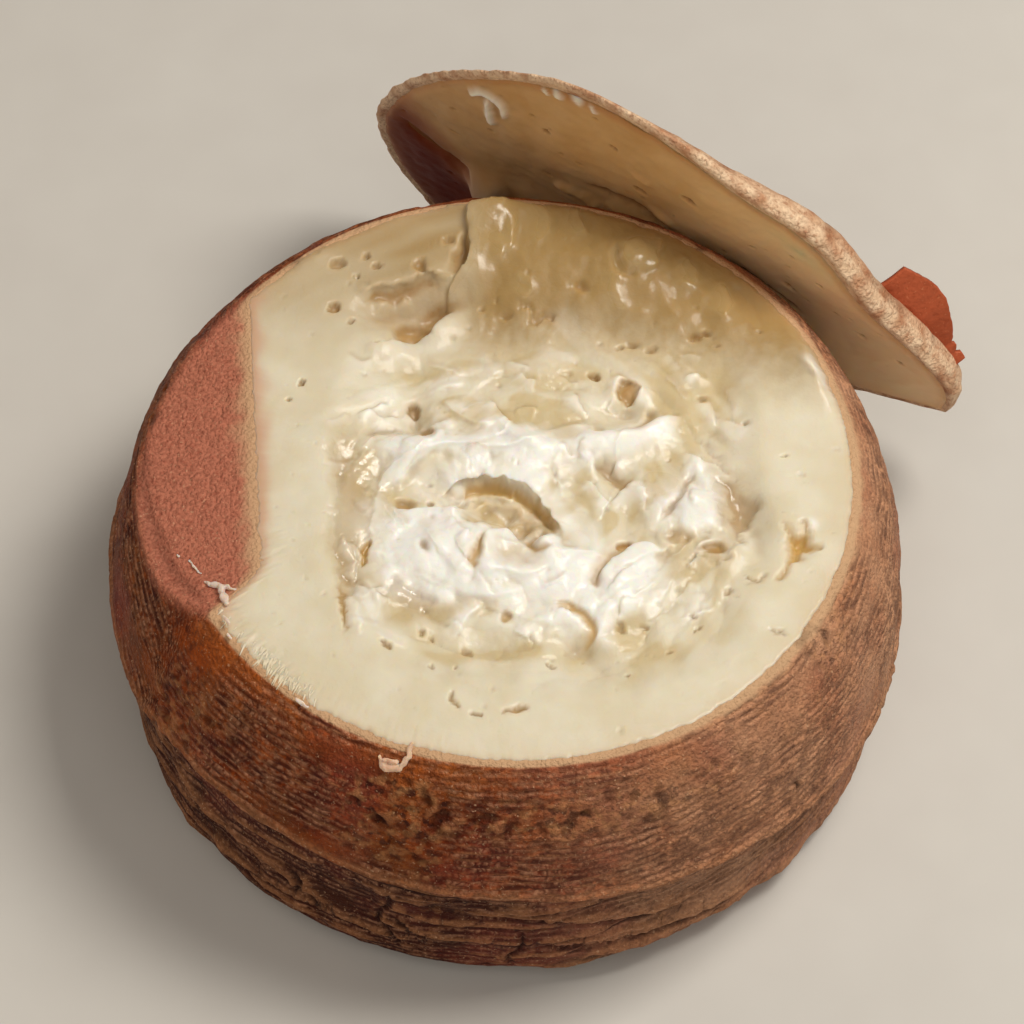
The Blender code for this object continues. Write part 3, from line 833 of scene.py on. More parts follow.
rind_finish = washed_rind("washed rind", (
    "#98420c",
    ("mottle", 0.9, "#6c2606"),
    ("patch", 0.6, "#461404"),
    ("olive", 0.40, "#885020"),
    # Painted shade: the lower rind darkened nearly to black.
    ("low", 0.92, "#2a0901"),
    ("fresh", 0.60, "#b86428"),
    # Painted light: paler towards the right, where the main light falls.
    ("pale", 0.85, "#d09a74"),
    ("rosy", 0.45, "#8c3a30"),
    # Painted shade: dark gaps between the cloth's beads.
    ("gaps", 0.85, "#38100a"),
    # Bead tops painted pale, partly as wear and partly as painted highlight.
    ("tops", 0.78, "#d49a76"),
    # Painted shade: dark in the deep pits.
    ("deep pits", 0.85, "#330e08"),
    ("light lumps", 0.55, "#bd8554"),
    # Paler on rises, as wear, and on the ledge's lip, as painted highlight.
    ("worn", 0.42, "#c88a5c"),
    ("skin", 0.92, "#c87c62"),
    ("skin dots", 0.40, "#9c4a36"),
    ("grit", 0.40, "#4a1808"),
    # More painted light on the right side.
    ("pale", 0.20, "#d8aa88"),
    # Light specks, partly the rind's own and partly painted glints; they are glossier too.
    ("speck", 0.38, "#e4ba92"),
    ("cut_edge", 0.9, "#d2aa82"),
    # Painted shade: creases, cracks and pits nearly black.
    ("crease", 0.92, "#220803"),
))
finish_piece(rind_upper, rind_finish, "cheese_wheel")
finish_piece(rind_lower, rind_finish, "cheese_wheel")

# %% [markdown]
# ## The paste's main forms
# Inside its firm ring the paste has sunk and was stirred up. The solid already has its main mounds and
# hollows, and the same named values give the same ground here, so that the fine strokes lie on it. Only the
# hollow's line is new: it is rounder and more ragged than the solid's.

# %% Main forms of the paste
EVEN_RADIUS = 54.0
HOLLOW_DEPTH = 3.4
HOLLOW_MIDDLE = (7.0, -1.0)
HOLLOW_HALF = (38.0, 46.0)
HOLLOW_POWER = 2.9
HOLLOW_EDGE = (0.72, 1.06)
PASTE_SWELL = 0.9
PASTE_SWELL_SPACING = 7.0
BROAD = 8.0
# Each form's rise, then its middle's x and y, half length, half width and turn in degrees.
PASTE_FORMS = {
    "white heap": (3.6, -2, -17, 19, 11, -8),
    "front bank": (1.8, 22, -24, 14, 8, 20),
    "fold across": (2.2, -9, 6, 22, 3.5, 2),
    "fold to the right": (1.8, 20, 9, 9, 3.5, 25),
    "central cavity": (-5.0, -1, -8, 11, 4.0, -26),
    "lump in the cavity": (2.2, 7, -16, 2.6, 2.6, 0),
    "front crescent": (-3.4, 12, -34, 7, 2.8, -48),
    "right lump": (2.8, 32, -6, 5, 4, 0),
    "lower right lump": (2.4, 37, -16, 5, 4, 30),
    "right hollow": (-3.0, 43, -9, 3.2, 8, 12),
    "star crack": (-3.0, 51.5, -16.5, 2.6, 3.8, -20),
    "upper left cavity": (-3.8, -17, 37, 10, 3.6, 18),
    "bubble": (-3.2, -18, 31, 3.0, 2.6, 0),
    "dark hole": (-3.0, -16.5, 12.5, 2.8, 2.8, 0),
    "round hole": (-3.4, 21, 16.5, 2.6, 2.6, 0),
    "pulled paste": (2.6, 16, 46, 26, 13, -24),
    "bubble dome": (1.4, 22, 48, 5, 5, 0),
    "peak at the back": (3.0, -3, 58, 7, 5, 0),
    "swelling at the lid": (3.2, 55, 24, 6, 8, 30),
    "peak at the left": (2.0, -38, 50, 4, 5, 40),
}


def form(x, y, rise, middle_x, middle_y, half_length, half_width, turn):
    """A soft mound, or a hollow where rise is below zero, turned by degrees."""
    angle = math.radians(turn)
    along = (x - middle_x) * math.cos(angle) + (y - middle_y) * math.sin(angle)
    across = (y - middle_y) * math.cos(angle) - (x - middle_x) * math.sin(angle)
    return rise * np.exp(-((along / half_length) ** 2) - (across / half_width) ** 2)


def scooped(flat):
    """1 where the paste was scooped out inside its ring and 0 on the ring, with a ragged line between."""
    across, along = np.abs(flat - HOLLOW_MIDDLE).T / np.array(HOLLOW_HALF)[:, None]
    reach = (across**HOLLOW_POWER + along**HOLLOW_POWER) ** (1 / HOLLOW_POWER)
    level_place = np.column_stack((flat, np.zeros(len(flat))))
    reach += 0.06 * soft_noise(level_place, 15.0, 48) + 0.02 * soft_noise(level_place, 4.0, 49)
    return 1 - smooth(*HOLLOW_EDGE, reach)


def main_forms(flat):
    """The height over the cut of the ground that the strokes are worked on."""
    x, y = flat[:, 0], flat[:, 1]
    swell = PASTE_SWELL * np.array([noise.noise((a, b, 0)) for a, b in flat / PASTE_SWELL_SPACING])
    mounds = sum(form(x, y, *values) for values in PASTE_FORMS.values())
    return (swell - HOLLOW_DEPTH) * scooped(flat) + mounds


# %% [markdown]
# ## Where the strokes lie
# The strokes were measured on a picture of the cheese, taken from straight ahead and 56 degrees above. On it,
# what is further back or deeper looks smaller and shifted. One function gives each point of the paste its
# place on that picture, in mm at the picture's middle scale, so every stroke falls where it was measured.

# %% Places on the picture
VIEW_TARGET = np.array((0.85, 8.25, 32.87))
VIEW_DISTANCE = 646.2
VIEW_ELEVATION = math.radians(56)
VIEW_ROLL = 0.013
LENS_IN_PIXELS = 3508.5
PIXELS_PER_MM = np.array((5.55, 4.55))
VIEW_MIDDLE = np.array((0.7, -10.3))


def as_seen(flat):
    """Each point of the paste, at the height of the broad forms, as the place where the picture shows it."""
    x, y = flat[:, 0], flat[:, 1]
    broad = sum(form(x, y, *values) for values in PASTE_FORMS.values() if values[4] >= BROAD)
    gap = np.column_stack((flat, cut_height(x, y) + broad - HOLLOW_DEPTH * scooped(flat))) - VIEW_TARGET
    rise, level = math.sin(VIEW_ELEVATION), math.cos(VIEW_ELEVATION)
    depth = VIEW_DISTANCE - gap @ (0, -level, rise)
    across, up = gap[:, 0], gap @ (0, rise, level)
    across, up = across + VIEW_ROLL * up, up - VIEW_ROLL * across
    return np.column_stack((across, up)) / depth[:, None] * LENS_IN_PIXELS / PIXELS_PER_MM + VIEW_MIDDLE


# %% [markdown]
# ## The cut face
# One drum is the whole paste, so that light scatters through it with no inner wall in its way. Its points
# are drawn towards the middle, where the work is finest. Its edge lies on the rind's shelf.

# %% The block of paste
PASTE_CELLS = 300
EVENNESS = 0.8
EDGE_INSET = 0.3
PASTE_SKIRT = ((0.0, -0.9), (-2.4, -1.6), (-2.4, None))
PASTE_BOTTOM = 45.0
# Azimuth and half width in degrees of each frayed stretch of the edge, and how frayed it is.
FRAYED = ((-143, 15, 1.0), (-112, 22, 0.35))

cut_paste = raw_drum("cut_paste", PASTE_CELLS, len(PASTE_SKIRT))
azimuth, share, row = drum_places(cut_paste)
ring = outwards(azimuth)
edge = rim_radius(azimuth) - EDGE_INSET
degrees = np.degrees(azimuth)
bristly = sum(amount * np.exp(-(((degrees - middle) / width) ** 2)) for middle, width, amount in FRAYED)
edge += 0.35 * soft_noise(ring * WHEEL_RADIUS, 3.0, 61) + 0.45 * soft_noise(ring * WHEEL_RADIUS, 8.0, 60)
edge += (0.25 + 0.8 * bristly) * soft_noise(ring * WHEEL_RADIUS, 1.1, 62)
share = EVENNESS * share + (1 - EVENNESS) * share**3
reach = EVEN_RADIUS + (edge - EVEN_RADIUS) * share**2
flat = ring[:, :2] * (share * reach)[:, None]
from_edge = edge - np.hypot(flat[:, 0], flat[:, 1])
level_place = np.column_stack((flat, np.zeros(len(flat))))
seen = as_seen(flat)
cut_clay = Clay(seen, level_place)
stroke, dab = cut_clay.stroke, cut_clay.dab
soft = scooped(flat)
print("the paste's points are", round(EVENNESS * EVEN_RADIUS * 2 / PASTE_CELLS, 2), "mm apart at the middle")

# %% [markdown]
# ## Stirred paste
# Soft paste that a spoon has turned over lies in short curved laps round the place that was scooped. Broad
# laps of random length follow that swirl, then about twice as many thin ones, each with a torn groove
# beside it.

# %% Laps of paste
SWIRL_MIDDLE = np.array((0.0, -8.0))
LAPS = 46
THIN_LAPS = 90
rng = np.random.default_rng(5)


def swirl_direction(place):
    """Which way the swirl runs at a place."""
    away = place - SWIRL_MIDDLE
    return math.atan2(away[1], away[0] * 0.8) + math.pi / 2


def lap_path(place, heading, step, turns):
    """A path of equal steps from a place, each turned from the heading, in either direction."""
    path = [place]
    for turn in turns:
        path.append(path[-1] + step * np.array((math.cos(heading + turn), math.sin(heading + turn))))
    if rng.random() < 0.5:
        path.reverse()
    return path


for _ in range(LAPS):
    place = np.array((rng.uniform(-28, 42), rng.uniform(-36, 26)))
    length, rise = rng.uniform(7, 17), rng.uniform(0.25, 0.70)
    heading = swirl_direction(place) + rng.normal(0, 0.25)
    bend = rng.normal(0, 0.25)
    path = lap_path(place, heading, length / 3, (0, bend, 2 * bend))
    thin = rng.uniform(0.6, 1.3)
    stroke(path, rise, thin, rng.uniform(2.4, 5.0), lean=0.5 * rise, ragged=0.3, cream=0.15)

for _ in range(THIN_LAPS):
    place = np.array((rng.uniform(-29, 44), rng.uniform(-37, 24)))
    length = rng.uniform(3, 9)
    heading = swirl_direction(place) + rng.normal(0, 0.45)
    path = lap_path(place, heading, length / 2, (0, rng.normal(0, 0.3)))
    rise = rng.uniform(0.20, 0.45)
    stroke(path, rise, 0.40, rng.uniform(1.2, 2.4), lean=rise, ragged=0.3, cream=0.25)
    torn = [np.array(point) + (0.0, 0.7) for point in path]
    stroke(torn, -0.6 * rise, 0.5, 0.5, ragged=0.3, deep=rng.uniform(0.05, 0.30))

# %% [markdown]
# ## Pillows and drag marks
# Noise drawn out along the swirl gives the soft pillows between the laps and the fine drag marks over them.
# They fade out in the very middle, where a swirl has no direction, and on the heap, which the spoon smoothed.
# At the frayed stretches of the edge the paste is combed outwards.

# %% Pillows and drag marks
SWIRL_ROUND = 14.0
SMOOTH_HEAP = (1.0, -13.5, -18.5, 9, 8, 0)
away = flat - SWIRL_MIDDLE
reach_out = np.hypot(*away.T)
swirl = np.column_stack((reach_out, SWIRL_ROUND * away / (reach_out + 0.1)[:, None]))
swirled = smooth(5.0, 15.0, reach_out)
stirred = soft * smooth(34, 20, flat[:, 1])
cut_clay.lift *= stirred
cut_clay.push *= stirred[:, None]
dragged = 0.26 * soft_noise(swirl, 3.6, 63) + 0.07 * soft_noise(swirl, 1.3, 64)
cut_clay.lift += stirred * swirled * dragged
warped = swirl + np.column_stack((cut_clay.fray * 0.5, np.zeros(len(flat))))
pillows = np.abs(soft_noise(warped, 7.0, 70)) ** 0.7 + 0.45 * np.abs(soft_noise(warped, 3.2, 71)) ** 0.7
patches = smooth(-0.5, 0.5, soft_noise(level_place, 12.0, 72))
smooth_heap = 1 - form(seen[:, 0], seen[:, 1], *SMOOTH_HEAP)
cut_clay.lift += stirred * swirled * (0.35 + 0.65 * patches) * smooth_heap * 1.15 * (pillows - 0.55)
cut_clay.lift += 0.05 * cut_clay.fray[:, 0] + 0.05 * soft_noise(level_place, 5.0, 65)
combed = np.column_stack((degrees * MM_ROUND_PER_DEGREE, 0.2 * from_edge, np.zeros(len(flat))))
cut_clay.lift += 0.5 * bristly * smooth(6.5, 2.0, from_edge) * soft_noise(combed, 1.1, 59)

# %% [markdown]
# ## The scooped middle
# The real one has a cave under an overhanging rim, with a round lump at its right end, a bright heap at its
# left, and a fold of paste drawn right across behind it. These are drawn one by one, in the places where
# they lie.

# %% The fold behind and the cave
stroke(((9.2, 6.6), (-0.1, 2.8), (-11.1, 3.5), (-17.9, -0.1), (-21.5, -5.5)), 1.3, 1.0, 4.6, lean=0.6,
       cream=0.6)
stroke(((-27.0, 6.1), (-22.2, 7.4), (-15.6, 6.7), (-12.3, 5.5)), -0.7, 1.2, 2.2, deep=0.16)
stroke(((33.4, 10.7), (27.2, 9), (21.4, 5.8), (15.7, 5.7), (13.2, 7.9), (2.6, 6.1)), 1.2, 3.0, 1.0,
       cream=0.5)
stroke(((18.1, 5.2), (23.1, 7.2), (25.5, 10.2), (24.7, 12.5)), -1.0, 0.7, 1.2, deep=0.40)
dab((6.7, 2.4), 8, 3.2, 8, 0.9, cream=0.5)
dab((-2.6, -8.6), 9.0, 4.4, -24, -0.9, edge=3.4, ragged=0.6, deep=0.12)
dab((4.6, -11.4), 4.6, 2.6, -42, -0.9, edge=3.4, ragged=0.4, deep=0.20)
stroke(((10.6, -16.0), (9.9, -12.6), (7.4, -8.2), (3.4, -4.4), (-1.2, -2.2), (-6.4, -1.9), (-11.4, -4.6),
        (-13.6, -8.4)), 1.2, 0.7, 3.4, lean=1.2, ragged=0.5, cream=0.3)
stroke(((8.6, -14.8), (7.0, -10.6), (3.0, -6.8), (-1.0, -4.6), (-6.0, -4.2), (-10.0, -6.2)), -1.2, 0.7, 0.8,
       ragged=0.3, deep=0.15, glow=1.0)
stroke(((6.0, -11.6), (2.2, -8.8), (-3.2, -6.6), (-9.5, -8.0)), 0.8, 0.8, 0.9, ragged=0.5, glow=0.3)
for middle, size in (((-6.4, -8.6), 2.6), ((-2.2, -9.6), 2.2), ((1.6, -10.6), 1.7), ((-9.8, -9.6), 1.8),
                     ((4.4, -12.6), 1.3), ((-4.2, -12.0), 1.8), ((-0.2, -13.0), 1.5)):
    dab(middle, size, size * 0.75, 20, 1.5, edge=2.6, ragged=0.5, glow=0.08)
dab((6.9, -15.6), 1.9, 1.8, 0, 1.7, edge=3.4, cream=0.7)
stroke(((4.5, -13.6), (3.9, -16.0), (5.4, -18.4), (8.4, -18.0)), -1.1, 0.6, 0.8, deep=0.55, glow=0.6)

# %% The white heap and the curls under it
dab((-13.8, -18.6), 8.6, 8.2, 0, 1.1, edge=3, ragged=0.7, cream=1.6)
stroke(((-20.4, -11.6), (-13.6, -10.0), (-7.4, -11.4)), 0.6, 0.9, 3.0, lean=0.4, cream=0.5)
stroke(((-5.8, -19.4), (-13.2, -28.4), (-19.6, -25.7), (-22.3, -21.0)), 0.5, 2.8, 1.0, cream=0.5)
dab((-15.2, -18.4), 0.8, 1.6, 25, -0.9, edge=3, ragged=0.3, deep=0.5)
stroke(((-21.8, -24.8), (-17.6, -28.2), (-12.2, -30.0)), -0.7, 1.6, 2.6, ragged=0.6, deep=0.45, wet=0.8)
stroke(((-21.2, -26.6), (-17.4, -29.6), (-13.4, -30.8)), 0.4, 0.9, 1.4, wet=0.8)
stroke(((-4.4, -14.6), (-5.2, -18.4), (-6.6, -24.6)), -1.1, 0.8, 1.1, ragged=0.5, deep=0.35, glow=0.8)
stroke(((-4.4, -20.8), (-3.8, -16.2), (-0.9, -13.9), (2.8, -15.6)), 0.9, 0.8, 1.2, lean=0.4, cream=0.4)
dab((1.6, -20.0), 4.6, 2.4, -15, -1.1, edge=3, ragged=0.5, deep=0.20, wet=0.4, glow=0.25)
stroke(((8.0, -21.4), (3.4, -23.8), (-2.0, -22.8), (-4.6, -25.2)), 0.7, 0.9, 2.8, lean=0.3, cream=0.6)
dab((-15.8, -32.4), 5.6, 3.0, -10, -0.5, deep=0.20)
dab((5, -24), 18, 9, -6, 0.3, cream=0.95)
dab((0, 0.5), 24, 5, 4, 0.2, cream=0.5)

# %% [markdown]
# ## The rest of the hollow
# A glossy trench runs down the left, under the firm ring's wall. At the right the paste broke into lumps and
# dimples, up to a ragged cliff. Each place has its own colour: thin wet paste is amber, and whipped paste is
# nearly white.

# %% The trench at the left
stroke(((-27.0, 8.4), (-30.4, 3.0), (-29.4, -6.4), (-31.0, -15.4), (-28.6, -24), (-28.2, -37.4)), -0.9, 3.4,
       2.4, ragged=0.4, deep=0.20, wet=0.6)
stroke(((-25.4, -15.8), (-25.8, -19.6), (-26.4, -22.8)), -1.0, 0.5, 0.6, ragged=0.5, deep=0.6, glow=0.9)
stroke(((-30.4, -14.8), (-28.6, -20.0), (-28.0, -25.6)), 0.9, 0.6, 1.0, lean=0.4, ragged=0.6, cream=0.5)
stroke(((-30.1, -23.1), (-29.8, -12.0), (-28.8, -3.7), (-23.4, 5.3), (-14.8, 7.5)), 0.45, 1.0, 3.0,
       lean=0.2, ragged=0.6, wet=0.8)
stroke(((-24.9, -20.1), (-24.0, -11.0), (-20.9, -1.3), (-11.7, 4.2)), 0.55, 0.9, 3.0, lean=0.2, ragged=0.6,
       wet=0.6, cream=0.2)
stroke(((-29.6, -27.0), (-27.6, -32.0), (-26.4, -37.5)), 0.7, 0.8, 2.0, lean=0.4, ragged=0.5, cream=0.4)
dab((-29.8, -31.4), 0.5, 4.6, 4, -0.7, edge=3, ragged=0.7, deep=0.6, glow=0.5)
dab((-18.8, -8.4), 2.0, 1.0, 0, -1.0, edge=4, ragged=0.2, deep=0.5, glow=0.2)
dab((-14, -8.2), 0.7, 0.6, 0, -0.8, edge=4, deep=0.45)
dab((-27.5, -6), 3.4, 12, 8, -0.2, ragged=1.5, deep=0.30, wet=0.5, glow=0.1)
dab((-29.6, -24), 1.6, 9, 2, -0.3, ragged=1.2, deep=0.22, wet=0.5, glow=0.1)

# %% The lumps and dimples at the right
stroke(((15.0, 0.2), (18.7, -2.6), (22.4, -6.2)), -1.2, 1.6, 1.2, ragged=0.5, deep=0.42)
dab((27, -4.6), 5.2, 4.2, 10, 0.8, edge=2.6, ragged=0.4, deep=0.10, wet=0.6)
stroke(((33.6, 0.4), (31.6, -5.5), (30.2, -9.6), (26.6, -13.6)), -1.1, 0.9, 0.9, ragged=0.3, deep=0.35)
stroke(((37.8, -10.6), (34.6, -3.0), (33.1, -1.6), (31.4, -8.6), (27.6, -13.8)), 0.5, 0.9, 1.4, cream=0.5)
dab((33.6, -9.6), 3.4, 5.8, -18, 1.5, edge=2.6, ragged=0.5, cream=1.1)
dab((39.6, -7.6), 3.2, 6.0, 14, -0.9, edge=2.6, ragged=0.9, deep=0.42, wet=0.8)
stroke(((36.3, -24.1), (38.5, -20.9), (41.2, -16.3), (42.2, -12.4), (44.7, -8.9), (45.2, -4.5)), -1.2, 3.2,
       0.9, ragged=0.9, deep=0.22)
dab((37.2, -18.8), 2.0, 1.3, 10, -1.3, edge=4, ragged=0.4, deep=0.55, glow=0.3)
dab((30.6, -16.3), 2.6, 1.4, -15, -0.9, edge=4, ragged=0.3, deep=0.40, glow=0.2)
stroke(((19.2, -17.9), (20.8, -17.4), (22.4, -17.6)), -1.0, 0.5, 0.5, deep=0.9, glow=0.6)
stroke(((22.6, -16.4), (16.8, -22.8), (15.8, -27.4)), -1.1, 0.8, 1.4, ragged=0.3, deep=0.35, glow=0.3)
stroke(((15.6, -27.0), (18.4, -22.6), (23.6, -18.4), (28.4, -19.4)), 0.9, 0.9, 3.2, lean=0.4, cream=0.6)
dab((21.6, -23.6), 7, 3.6, 20, 0.7, edge=2.4, ragged=0.4, cream=1.1)
dab((34, -22), 8, 3, 25, -0.2, edge=2.4, deep=0.10)

# %% The front of the hollow
stroke(((13.0, -41.0), (15.6, -37.2), (14.4, -33.8), (11.4, -31.0), (7.4, -29.6)), -0.5, 1.0, 0.5,
       ragged=0.3, deep=0.30, glow=0.9)
stroke(((15.0, -41.4), (17.2, -36.6), (15.6, -32.2), (11.4, -29.4)), 0.6, 1.2, 2.8, lean=0.3, cream=0.5)
dab((11.6, -36.6), 6.8, 3.2, -48, 2.6, edge=2.2, cream=0.3)
dab((-0.4, -33.5), 1.0, 1.4, 20, -0.7, edge=3.4, ragged=0.5, deep=0.35, glow=0.6)
stroke(((2.7, -26.9), (-3.3, -28.6), (-11.2, -26.7)), 0.7, 1.0, 2.6, lean=0.4, cream=0.6)
stroke(((-4, -30.0), (-7.5, -33.0), (-9.5, -37.0)), 0.7, 1.0, 2.4, lean=0.3, cream=0.4)
for place, size, deep in (((-21.9, -39.4), 1.1, 0.6), ((-15.7, -36.6), 0.7, 0.4), ((-13.5, -38.5), 0.6, 0.4),
                          ((-7.7, -41.0), 1.2, 0.3), ((-9.2, -44.5), 0.6, 0.4), ((-13.8, -44.3), 0.6, 0.3),
                          ((4.4, -38.2), 0.7, 0.3), ((20.4, -36.0), 1.1, 0.3), ((7.6, -44.0), 1.0, 0.3)):
    dab(place, size, size * 0.55, -55, -0.8, edge=3.4, ragged=0.8, deep=deep)

# %% [markdown]
# ## Holes in the firm ring
# Gas left pinholes and tears in the firm paste. The tears are grooves with torn edges, and inside them the
# paste is painted darker as painted shade, and painted golden as a painted glow, like honey. The two big
# caves at the upper left are under a thin ragged lip.

# %% The caves at the upper left
dab((-17.0, 36.4), 9.8, 4.4, 14, -1.5, edge=3, ragged=0.5, deep=0.38)
dab((-8.2, 46.6), 1.4, 4.2, -18, -1.7, edge=3, ragged=0.6, deep=0.75)
for middle, size in (((-22.5, 36.4), 1.6), ((-12.6, 38.2), 1.8), ((-18.6, 37.4), 1.4), ((-11.4, 34.4), 1.5)):
    dab(middle, size, size * 0.7, 30, 0.8, edge=2.6, ragged=0.4)
dab((-13.8, 33.6), 5.0, 2.6, 60, -0.9, edge=3, ragged=0.8, deep=0.45)
stroke(((-8.6, 41.0), (-12.3, 42.4), (-14.9, 43.3), (-18.0, 41.2), (-21.5, 40.4), (-25.0, 39.4),
        (-27.4, 37.2)),
       0.8, 0.5, 1.8, lean=0.6, ragged=0.4)
stroke(((-26.6, 36.6), (-23.2, 38.4), (-19.8, 39.0), (-14.9, 41.2), (-11.2, 40.2)), -0.9, 0.8, 1.2,
       ragged=0.4, deep=0.65)
dab((-17.6, 31.6), 3.1, 2.7, 10, -1.9, edge=5, ragged=0.25, deep=0.40, glow=0.25)
stroke(((-14.2, 32.8), (-15.2, 30.2), (-17.6, 29.0)), -0.7, 0.8, 0.8, deep=0.6)
stroke(((-26.5, 26.2), (-20.7, 26.6), (-14.5, 27.8), (-11.6, 31.4), (-9.4, 36.4)), 1.1, 0.8, 3.0, lean=0.7,
       ragged=0.35, cream=0.25)
for place, size, deep in (((-31.4, 34.9), 1.1, 1.0), ((-30.5, 44.3), 1.2, 0.35), ((-34.8, 46.9), 0.9, 0.15),
                          ((-25.7, 46.1), 0.8, 0.3), ((-23.5, 43.7), 0.9, 0.4), ((-16.0, 43.9), 1.3, 0.8),
                          ((-37.2, 18.3), 0.7, 0.6), ((-39.5, 14.7), 0.5, 0.2), ((-10.6, 49.6), 0.9, 0.5),
                          ((-28.4, 32.0), 0.7, 0.3), ((-27.6, 41.6), 0.7, 0.4)):
    dab(place, size, size * 0.8, 30, -1.3, edge=4, ragged=0.7, deep=deep)
stroke(((-24.4, 26.6), (-22.8, 26.9), (-21.0, 26.3)), -0.9, 0.5, 0.4, deep=0.8)
dab((-17.0, 12.6), 1.1, 1.3, 0, -1.7, edge=4, ragged=0.5, deep=1.0)
dab((-15.0, 7.4), 1.2, 1.0, 0, -1.0, edge=4, ragged=0.4, deep=0.6, glow=0.4)
dab((-14.4, 10.4), 2.0, 2.6, -30, 0.9, edge=3, ragged=0.3, glow=0.10)
dab((-18.6, 9.0), 1.6, 2.4, 20, 0.7, edge=3, ragged=0.3)

# %% The holes at the upper right
dab((21.2, 15.0), 3.0, 3.0, 0, 2.6, edge=2.2)
dab((21.4, 16.2), 2.0, 2.4, 15, -2.4, edge=6, ragged=0.5, deep=0.95, glow=0.35)
dab((15.5, 19.6), 1.2, 0.7, -25, -1.4, edge=4, ragged=0.4, deep=0.9)
dab((13.1, 39.4), 1.2, 0.9, -20, -1.0, edge=3, ragged=0.5, deep=0.5)
dab((34.5, 28.3), 1.6, 0.7, 25, -1.2, edge=4, ragged=0.6, deep=0.9)
dab((34.9, 14.4), 0.9, 0.6, 0, -0.8, edge=3, ragged=0.5, deep=0.4)
for end in ((7.6, 32.4), (3.2, 34.6), (5.0, 31.4)):
    stroke(((5.2, 33.6), end, (end[0] * 1.1, end[1] - 0.6)), -0.8, 0.9, 0.9, ragged=0.9, deep=0.35)
for place, size in (((-0.3, 32.8), 1.0), ((-4.6, 35.2), 0.7), ((-1.9, 36.4), 0.5), ((22.6, 26.6), 1.2),
                    ((25.6, 25.2), 0.9), ((20.2, 26.0), 0.8), ((43, 9.2), 0.6), ((38, 26.1), 0.5),
                    ((45, 29.4), 0.6), ((50, 2.0), 0.5)):
    dab(place, size, size * 0.7, 20, -0.8, edge=3, ragged=0.8, deep=0.4)

# %% The star crack and the small cracks of the ring
dab((53.0, -19.3), 3.0, 4.2, -20, 2.6, edge=2.1)
for path in (((52.4, -18.4), (51.0, -15.0), (49.6, -11.6)), ((52.4, -18.4), (55.9, -17.7), (57.0, -18.4)),
             ((52.2, -18.0), (50.4, -22.4), (48.4, -26.4)), ((52.4, -18.4), (53.6, -14.6), (53.4, -11.4))):
    stroke(path, -0.8, 0.6, 0.7, ragged=0.6, deep=0.30, glow=0.6)
dab((52.4, -17.6), 2.0, 2.7, -15, -1.5, edge=3, ragged=0.8, deep=0.40, glow=1.0)
dab((54.6, -13.0), 1.2, 1.3, 10, 0.3, edge=2.6, cream=0.9)
for path in (((2.9, -52.8), (0.6, -53.6), (-2.1, -54.3)), ((-4.0, -54.8), (-5.6, -54.9), (-7.2, -54.3)),
             ((-8.3, -53.9), (-10.3, -51.3), (-9.9, -49.4))):
    stroke(path, -0.6, 0.38, 0.38, ragged=0.3, deep=1.0)
dab((2.2, -53.4), 1.5, 0.6, 20, -0.9, edge=3.4, ragged=0.8, deep=0.9, glow=0.4)
for path in (((42.2, -24.0), (44.6, -25.6), (46.8, -23.4)), ((32.8, -32.4), (33.6, -33.6)),
             ((23.4, -35.0), (25.2, -36.4)), ((28.2, -41.0), (30.2, -41.4)), ((20.8, -46.1), (22.2, -46.3)),
             ((46.4, -36.2), (50.2, -36.6)), ((40.4, -27.0), (38.6, -28.6)), ((33.0, -37.0), (34.6, -35.2))):
    stroke(path, -0.5, 0.40, 0.40, ragged=0.8, deep=0.45)

# %% [markdown]
# ## The pulled tongue
# When the lid was lifted, wet paste was drawn up with it. It is smooth and shiny, and painted tan, partly
# as thin wet paste and partly as painted shade from the lid, with ribs that run up to the lid, a blister at
# its right, and strands between.

# %% The tongue
stroke(((-10.8, 32.3), (-10.1, 39.2), (-7.3, 43.1), (-6.1, 46.9), (-6.6, 54), (-4.6, 61.7)), 1.4, 0.8, 4.0,
       lean=0.8, ragged=0.3, wet=0.8)
RIBS = (
    (((-1.1, 62), (-1.0, 56), (0.6, 51), (-2.5, 44)), 0.9),
    (((13.3, 60), (12.2, 54), (14.4, 50)), 0.7),
    (((4.4, 60), (6.8, 53), (4.4, 47.5)), 0.5),
    (((20.6, 43.0), (19.2, 38.6), (21.4, 32.5)), 0.5),
    (((28.4, 50.4), (26.2, 46.0), (27.2, 42.5)), 0.7),
    (((37.4, 41.1), (39.8, 36.0), (37.6, 31.5)), 0.6),
    (((31.0, 46.5), (33.4, 42.0), (31.6, 38.0)), 0.5),
    (((0.6, 43.0), (3.6, 39.4), (1.4, 35.5)), 0.4),
)
for path, rise in RIBS:
    stroke(path, 0.8 * rise, 1.1, 3.0, lean=0.4 * rise, ragged=0.5, wet=0.9)
dab((22.6, 46.3), 2.8, 3.8, -8, 1.0, edge=3, wet=0.9)
stroke(((19.6, 49.0), (19.4, 45.0), (21.2, 42.2), (24.4, 42.6)), -0.7, 0.8, 0.8, deep=0.25, wet=0.6)
dab((43.9, 36.4), 6.0, 3.4, -38, -0.9, edge=2.4, deep=0.25)
stroke(((24.0, 58.4), (33.0, 52.6), (41.0, 46.4), (48.0, 40.6)), -1.0, 1.2, 1.6, deep=0.40)
stroke(((60.0, 12.6), (57.4, 18.6), (52.0, 25.0)), 0.9, 0.9, 2.4, lean=0.4, ragged=0.3, cream=0.5)
tongue_here = smooth(22, 42, flat[:, 1] + 0.25 * np.abs(flat[:, 0] - 12) + 2.0 * cut_clay.fray[:, 0])
tongue_here *= smooth(-13, -3, flat[:, 0]) * (1 - smooth(50, 64, flat[:, 0]))
drawn_up = np.column_stack((flat * (1, 0.75), flat[:, 0] * 0))
